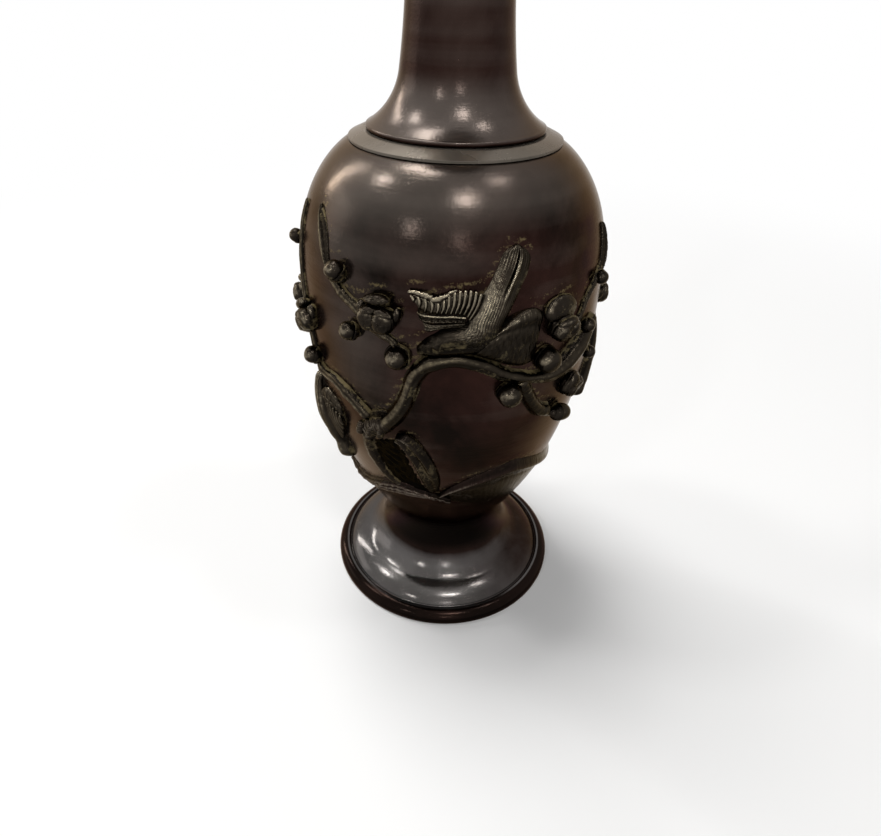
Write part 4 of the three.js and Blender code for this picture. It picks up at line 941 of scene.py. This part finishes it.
small, near_body = covert(9, 74), covert(5, 78)
left_feathers = fan(
    [(-11.2, 0.776), (-9.2, 0.763), (-7, 0.757), (-4.8, 0.757), (-3, 0.757), (-1.4, 0.757), (0.4, 0.757),
     (2, 0.757), (3.6, 0.757), (5, 0.752), (5.8, 0.746)],
    [(-12.4, 0.79), (-9.6, 0.79), (-7, 0.788), (-4.7, 0.782), (-2.4, 0.787), (-0.4, 0.796), (1.6, 0.802),
     (3.6, 0.804), (5.6, 0.804), (7.6, 0.802), (9.4, 0.797)], 13, 0.52, 0.85, 0.95, 0.5)
left_wing = left_feathers + [
    between([(-11.2, 0.774), (-9.2, 0.76), (-5, 0.752), (0, 0.752), (4.4, 0.75), (5.8, 0.742)],
            [(-12.6, 0.789), (-9.6, 0.787), (-4.7, 0.778), (-0.5, 0.79), (3.6, 0.798), (9.4, 0.792)],
            lambda u, v: 0.35, 120, 24),
    limb([(-13.2, 0.796, 1.0), (-9.4, 0.794, 1.1), (-6.8, 0.791, 1.3), (-4.7, 0.785, 1.3), (-2.2, 0.79, 1.3),
          (0, 0.799, 1.1), (2, 0.804, 0.9)],
         (0.5, 0.8, 0.9, 0.9, 0.5, 0.35), (0.6, 0.75, 0.85, 0.8, 0.5, 0.35),
         bark_of(72, (), 0, 0.16), sides=28),
    between([(-9.4, 0.742), (-7.6, 0.735), (-3.8, 0.735), (0.6, 0.737), (5.0, 0.738)],
            [(-10.2, 0.764), (-8.0, 0.759), (-3, 0.758), (1.4, 0.759), (5.4, 0.756)],
            lambda u, v: 1.5 + small(u, v) + 0.8 * hump(v, 0.8, 0.16), 200, 40, steep=4),
    between([(-7.6, 0.716), (-5.8, 0.716), (-3.0, 0.722), (1.5, 0.727), (5.0, 0.73)],
            [(-8.6, 0.738), (-6.2, 0.733), (-3.8, 0.733), (0.6, 0.736), (5.2, 0.738)],
            lambda u, v: 0.6 + small(u, v) * 0.6, 140, 30),
]
low_feathers = fan([(-59.5, 0.42), (-57, 0.43), (-54, 0.44), (-50.5, 0.435), (-47, 0.425)],
                   [(-57.5, 0.322), (-55, 0.322), (-52.4, 0.332), (-49.6, 0.36), (-46.4, 0.395)],
                   8, 0.7, 0.9, 1.6)
birds = {
    "bird_body": [front_bird],
    # The left wing is made paler as a whole: painted light on the side that faces the upper left.
    "bird_wing_left": [retoned(sheet, 0.36) for sheet in left_wing],
    "bird_wing_right": [
        between([(7, 0.672), (13, 0.655), (19, 0.637), (24.5, 0.627), (29.3, 0.63)],
                [(14.4, 0.724), (18.8, 0.742), (23.2, 0.753), (28, 0.755), (31.9, 0.742)],
                broad_wing, 180, 96, ends=(0, 0.12))],
    "bird_lower_body": [
        limb([(-61, 0.5, 0), (-62.6, 0.47, 0.1), (-62.6, 0.43, 0.2), (-61.4, 0.385, 0.3),
              (-59.6, 0.34, 0.3), (-57.6, 0.302, 0.5), (-55.4, 0.272, 0.4), (-53.4, 0.254, 0)],
             (1.6, 2.6, 3.6, 4.0, 3.4, 2.9, 3.3, 2.0), (1.2, 2.2, 3.2, 3.8, 3.4, 3.0, 3.2, 1.8),
             low_plumage, rows=260, sides=88)],
    "bird_lower_wing": low_feathers + [
        between([(-60.5, 0.395), (-57, 0.4), (-53, 0.405), (-49.6, 0.41), (-46.2, 0.418)],
                [(-59.4, 0.468), (-56, 0.475), (-53, 0.472), (-49.6, 0.462), (-46.6, 0.444)],
                lambda u, v: 2.4 - 1.2 * u + near_body(u, v), 120, 60, steep=4),
        between([(-58.5, 0.33), (-55, 0.33), (-52.2, 0.34), (-49.6, 0.366), (-46.6, 0.398)],
                [(-59, 0.43), (-56, 0.44), (-53, 0.44), (-49.6, 0.436), (-46.6, 0.428)],
                lambda u, v: 1.1 - 0.3 * u, 90, 30)],
}
# shade: painted light from the upper left and painted shade on the lower right.
for name, sheets in birds.items():
    skin("cast_" + name, sheets, bird_bronze, [name], shade=0.75, dust=0.0)

# The blossoms. Half-open plum flowers, cast solid: a hooded petal stands up behind two round
# cupped ones, with small ones at their sides. Ochre earth sits between and along the hood.
blossom_bronze = cast_bronze("blossom_bronze", (0.004, 0.003, 0.0024), (0.03, 0.024, 0.018),
                             (0.19, 0.16, 0.115), earth, 0.19, 0.9)


def seat(degrees, share, spin=0.0):
    """A place on the wall with its own directions: across, along and out, the first two turned
    about the third by spin degrees."""
    eye = on_wall(degrees, share, 0.0)
    out = on_wall(degrees, share, mm) - eye
    across = on_wall(degrees + 0.2, share, 0.0) - eye
    out, across = out / np.linalg.norm(out), across / np.linalg.norm(across)
    along = np.cross(out, across)
    c, s = np.cos(np.radians(spin)), np.sin(np.radians(spin))
    return eye, np.stack([c * across + s * along, c * along - s * across, out])


def petal(place, x, y, size, turned, tilt, cup, base, seed):
    """A thick cupped petal: a ball of half width, half length and half thickness size (mm), its
    upper side pressed in by a bowl of depth cup with a raised round rim, tipped by tilt degrees
    towards its own -y, turned in the plane of the wall, with its middle at x, y and base."""
    eye, axes = place
    fall = np.linspace(0.03, np.pi - 0.03, 36)[:, None]
    turn = np.linspace(0, 2 * np.pi, 54, endpoint=False)[None, :]
    round_it = turn / (2 * np.pi)
    reach = np.sin(fall) ** 0.85 * (1 + 0.05 * uneven(fall / 3.2, round_it, seed))
    upper = (fall < np.pi / 2) * np.ones_like(turn)
    bowl = cup * np.clip(1 - (reach / 0.72) ** 2, 0, 1) * upper
    px, py = size[0] * reach * np.cos(turn), size[1] * reach * np.sin(turn)
    pz = size[2] * (np.cos(fall) - bowl + 0.03 * uneven(round_it, fall, seed + 5, 1.5) * upper)
    t, a = np.radians(tilt), np.radians(turned)
    py, pz = np.cos(t) * py - np.sin(t) * pz, np.sin(t) * py + np.cos(t) * pz
    px, py = np.cos(a) * px - np.sin(a) * py, np.sin(a) * px + np.cos(a) * py
    high = base + pz
    spot = np.stack([x + px, y + py, np.maximum(high, -0.8)], -1) * mm
    rim = hump(reach, 0.86, 0.16) * upper
    wear_and_light = np.clip(0.38 + 0.36 * np.cos(fall) + 0.4 * rim - bowl, 0, 1)
    # The middles of the bowls go far below -1.6: painted shade, near black.
    hollow = 2.6 * np.clip(1.6 * bowl - 0.25, 0, 1)
    return eye + spot @ axes, wear_and_light - hollow - 0.6 * np.clip(1 - high / 1.2, 0, 1), False


def flower(degrees, share, radius, spin, petals, seed):
    """A blossom from its table of petals, whose lengths are shares of its radius."""
    place = seat(degrees, share, spin)
    return [petal(place, x * radius, y * radius, [radius * length for length in size], turned, tilt,
                  cup, base * radius, seed + k)
            for k, (x, y, size, turned, tilt, cup, base) in enumerate(petals)]


hooded = (
    (-0.02, 0.74, (0.66, 0.3, 0.42), 4, -24, 0.0, 0.26),
    (-0.36, -0.12, (0.56, 0.6, 0.62), 14, 6, 0.12, 0.3),
    (0.38, -0.14, (0.58, 0.62, 0.64), -14, 6, 0.12, 0.32),
    (0.0, -0.4, (0.62, 0.42, 0.5), 0, 16, 0.0, 0.2),
    (-0.3, 0.26, (0.5, 0.26, 0.42), 10, -10, 0.0, 0.4),
    (0.42, 0.24, (0.5, 0.26, 0.42), -14, -10, 0.0, 0.42),
    (-0.86, 0.16, (0.24, 0.4, 0.3), 12, 0, 0.0, 0.1),
    (0.9, 0.14, (0.22, 0.38, 0.3), -12, 0, 0.0, 0.12),
)
closed = (
    (-0.04, 0.42, (1.05, 0.74, 0.4), 0, -14, 0.0, 0.08),
    (0.04, -0.5, (0.86, 0.74, 0.7), 0, 12, 0.0, 0.24),
    (-0.3, -0.6, (0.5, 0.6, 0.56), 14, 24, 0.0, 0.44),
    (0.38, -0.56, (0.5, 0.6, 0.56), -16, 24, 0.0, 0.44),
    (0.04, -0.14, (0.66, 0.26, 0.34), 0, 20, 0.0, 0.64),
)
faceted = (
    (0.0, 0.0, (0.78, 0.9, 0.56), 0, 10, 0.0, 0.2),
    (-0.2, -0.28, (0.44, 0.6, 0.5), 24, 24, 0.2, 0.42),
    (0.28, -0.2, (0.44, 0.6, 0.5), -30, 18, 0.2, 0.42),
    (0.05, 0.36, (0.46, 0.5, 0.46), 0, -14, 0.1, 0.4),
)
blossoms = {
    "blossom_left": (-23, 0.738, 6.7, 0, hooded), "blossom_left_edge": (-61, 0.65, 6.3, 35, hooded),
    "blossom_right": (39.2, 0.722, 6.2, 0, closed), "blossom_right_low": (50.6, 0.531, 5.9, 20, faceted),
    "blossom_back_right": (93, 0.655, 6.0, 12, hooded), "blossom_back": (178, 0.66, 5.9, -20, hooded),
    "blossom_back_left": (-91, 0.63, 6.0, 30, hooded),
}
# shade: painted light from the upper left and painted shade on the lower right.
for seed, (name, table) in enumerate(blossoms.items()):
    skin("cast_" + name, flower(*table, 100 + 10 * seed), blossom_bronze, [name],
         shade=0.85)

# The buds. Round plum buds, each half sunk in a thick cup on a short stalk, cast in one and pegged
# to the wall. They were rubbed bright on top; the cups stayed dark, with earth in their throats.


def turned_on(outline, place, towards, lean, radius, lift, lobes=0.0):
    """An outline of (radius, height) shares turned about an axis that leans from the wall towards
    a direction, in degrees anticlockwise from across; its edge may be cut in five soft lobes."""
    eye, axes = place
    turn = np.radians(towards)
    course = np.cos(turn) * axes[0] + np.sin(turn) * axes[1]
    axis = (1 - lean) * axes[2] + lean * course
    axis /= np.linalg.norm(axis)
    side = np.cross(axis, axes[2] if lean > 0.5 else axes[1])
    side /= np.linalg.norm(side)
    third = np.cross(axis, side)
    profile = flow(outline, 44)
    angle = np.linspace(0, 2 * np.pi, 40, endpoint=False)[None, :]
    reach = np.maximum(profile[:, :1], 0.004) * radius * (
        1 + lobes * np.cos(5 * angle) * np.clip(profile[:, 1:] + 0.9, 0, 1))
    spot = (reach[..., None] * (np.cos(angle)[..., None] * side + np.sin(angle)[..., None] * third)
            + profile[:, 1:, None] * radius * axis)
    grid = eye + axes[2] * lift * mm + spot * mm
    outwards = ((grid - eye) @ axes[2]) / mm
    wear_and_light = np.clip(0.34 + 0.12 * outwards, 0, 0.85) - 0.45 * np.clip(1 - outwards / 0.8, 0, 1)
    return grid, wear_and_light, False


egg = [(0.0, -0.9), (0.6, -0.74), (0.95, -0.28), (1.0, 0.18), (0.83, 0.66), (0.46, 0.94), (0.0, 1.04)]
bean = [(r, 1.35 * h) for r, h in egg]
cup = [(0.0, -1.25), (0.5, -1.12), (0.86, -0.86), (1.02, -0.56), (1.05, -0.4), (1.02, -0.28),
       (0.9, -0.36), (0.8, -0.5), (0.0, -0.7)]
saucer = [(0.0, -1.2), (0.6, -1.15), (1.08, -0.8), (1.26, -0.4), (1.24, -0.14), (1.1, -0.04),
          (0.94, -0.2), (0.84, -0.5), (0.0, -0.7)]
stalk = [(0.0, -2.4), (0.34, -2.3), (0.36, -1.7), (0.55, -1.15), (0.0, -1.0)]
buds = {
    "bud_left_top": (-39.6, 0.804, 3.1, 115, 0.5), "bud_left_mid": (-16.6, 0.653, 3.5, 80, 0.12),
    "bud_left_small": (-34, 0.688, 3.0, 140, 0.4), "bud_left_lower": (-58.8, 0.562, 3.1, 150, 0.4),
    "bud_left_edge": (-74, 0.808, 2.3, 150, 0.4), "bud_front_under": (21, 0.567, 4.0, -90, 0.1),
    "bud_front_above": (34.3, 0.634, 4.2, -60, 0.1), "bud_bean": (47.6, 0.459, 3.2, -14, 0.8),
    "bud_right_upper": (55.4, 0.668, 2.4, 0, 0.4), "bud_right_lower": (64.2, 0.574, 2.2, 10, 0.4),
    "bud_right_top": (62.4, 0.762, 2.3, 200, 0.4), "bud_back_low": (108, 0.56, 2.3, -90, 0.75),
    "bud_back_mid": (122, 0.655, 3.0, 100, 0.7), "bud_back_end": (143, 0.535, 3.0, -30, 0.75),
    "bud_back_high": (-126, 0.725, 3.0, 90, 0.7), "bud_back_under": (-142, 0.655, 2.3, -90, 0.75),
}
# shade: painted light from the upper left and painted shade on the lower right.
for name, (degrees, share, radius, towards, lean) in buds.items():
    stand = (seat(degrees, share), towards, lean, radius, (0.55 if radius > 3.2 else 0.75) * radius)
    holder = turned_on(saucer if name == "bud_left_mid" else cup, *stand, lobes=0.03)
    sheets = [turned_on(bean if name == "bud_bean" else egg, *stand), retoned(holder, -0.3),
              turned_on(stalk, *stand)]
    skin("cast_" + name, sheets, blossom_bronze, [name], shade=0.85)

# Earth round the relief. Cloths never reach the corner where the relief meets the wall, so
# speckled ochre earth has settled there, above the forms.


def points_of(mesh):
    """A mesh's corners, a row of x, y and z for each."""
    points = np.empty(len(mesh.vertices) * 3)
    mesh.vertices.foreach_get("co", points)
    return points.reshape(-1, 3)


def spread_out(mask, times):
    """Softens a mask round the body: each pass gives every place the mean of itself and its four
    neighbours."""
    for _ in range(times):
        padded = np.pad(mask, ((1, 1), (0, 0)), mode="edge")
        mask = (mask + padded[2:] + padded[:-2] + np.roll(mask, 1, 1) + np.roll(mask, -1, 1)) / 5
    return mask


wall_mesh = bpy.data.objects["body_casting"].data
outside = body_rows * body_sides
heights = points_of(wall_mesh)[:outside:body_sides, 2]
footprint = np.zeros((body_rows, body_sides))
for piece in [thing for thing in bpy.data.objects if thing.name.startswith("cast_")]:
    points = points_of(piece.data)
    proud = np.hypot(points[:, 0], points[:, 1]) - body_radius(points[:, 2])
    low = points[np.abs(proud) < 0.7 * mm]
    row = np.interp(low[:, 2], heights, np.arange(body_rows)).round().astype(int)
    column = (np.arctan2(low[:, 0], -low[:, 1]) / (2 * np.pi) * body_sides).round().astype(int)
    footprint[row, column % body_sides] = 1

near = spread_out(footprint, 4)
above_it = np.clip(2.4 * (np.roll(near, 2, 0) - 0.45 * np.roll(near, -3, 0)), 0, 1)
patchy = 0.5 + 0.5 * uneven(np.linspace(0, 6, body_rows)[:, None],
                            np.linspace(0, 1, body_sides)[None, :] * 23, 91, 1.5)
values = np.zeros(len(wall_mesh.vertices), np.float32)
values[:outside] = (above_it * np.clip(patchy * 1.6 - 0.3, 0, 1)).reshape(-1)
wall_mesh.attributes.new("earth", "FLOAT", "POINT").data.foreach_set("value", values)
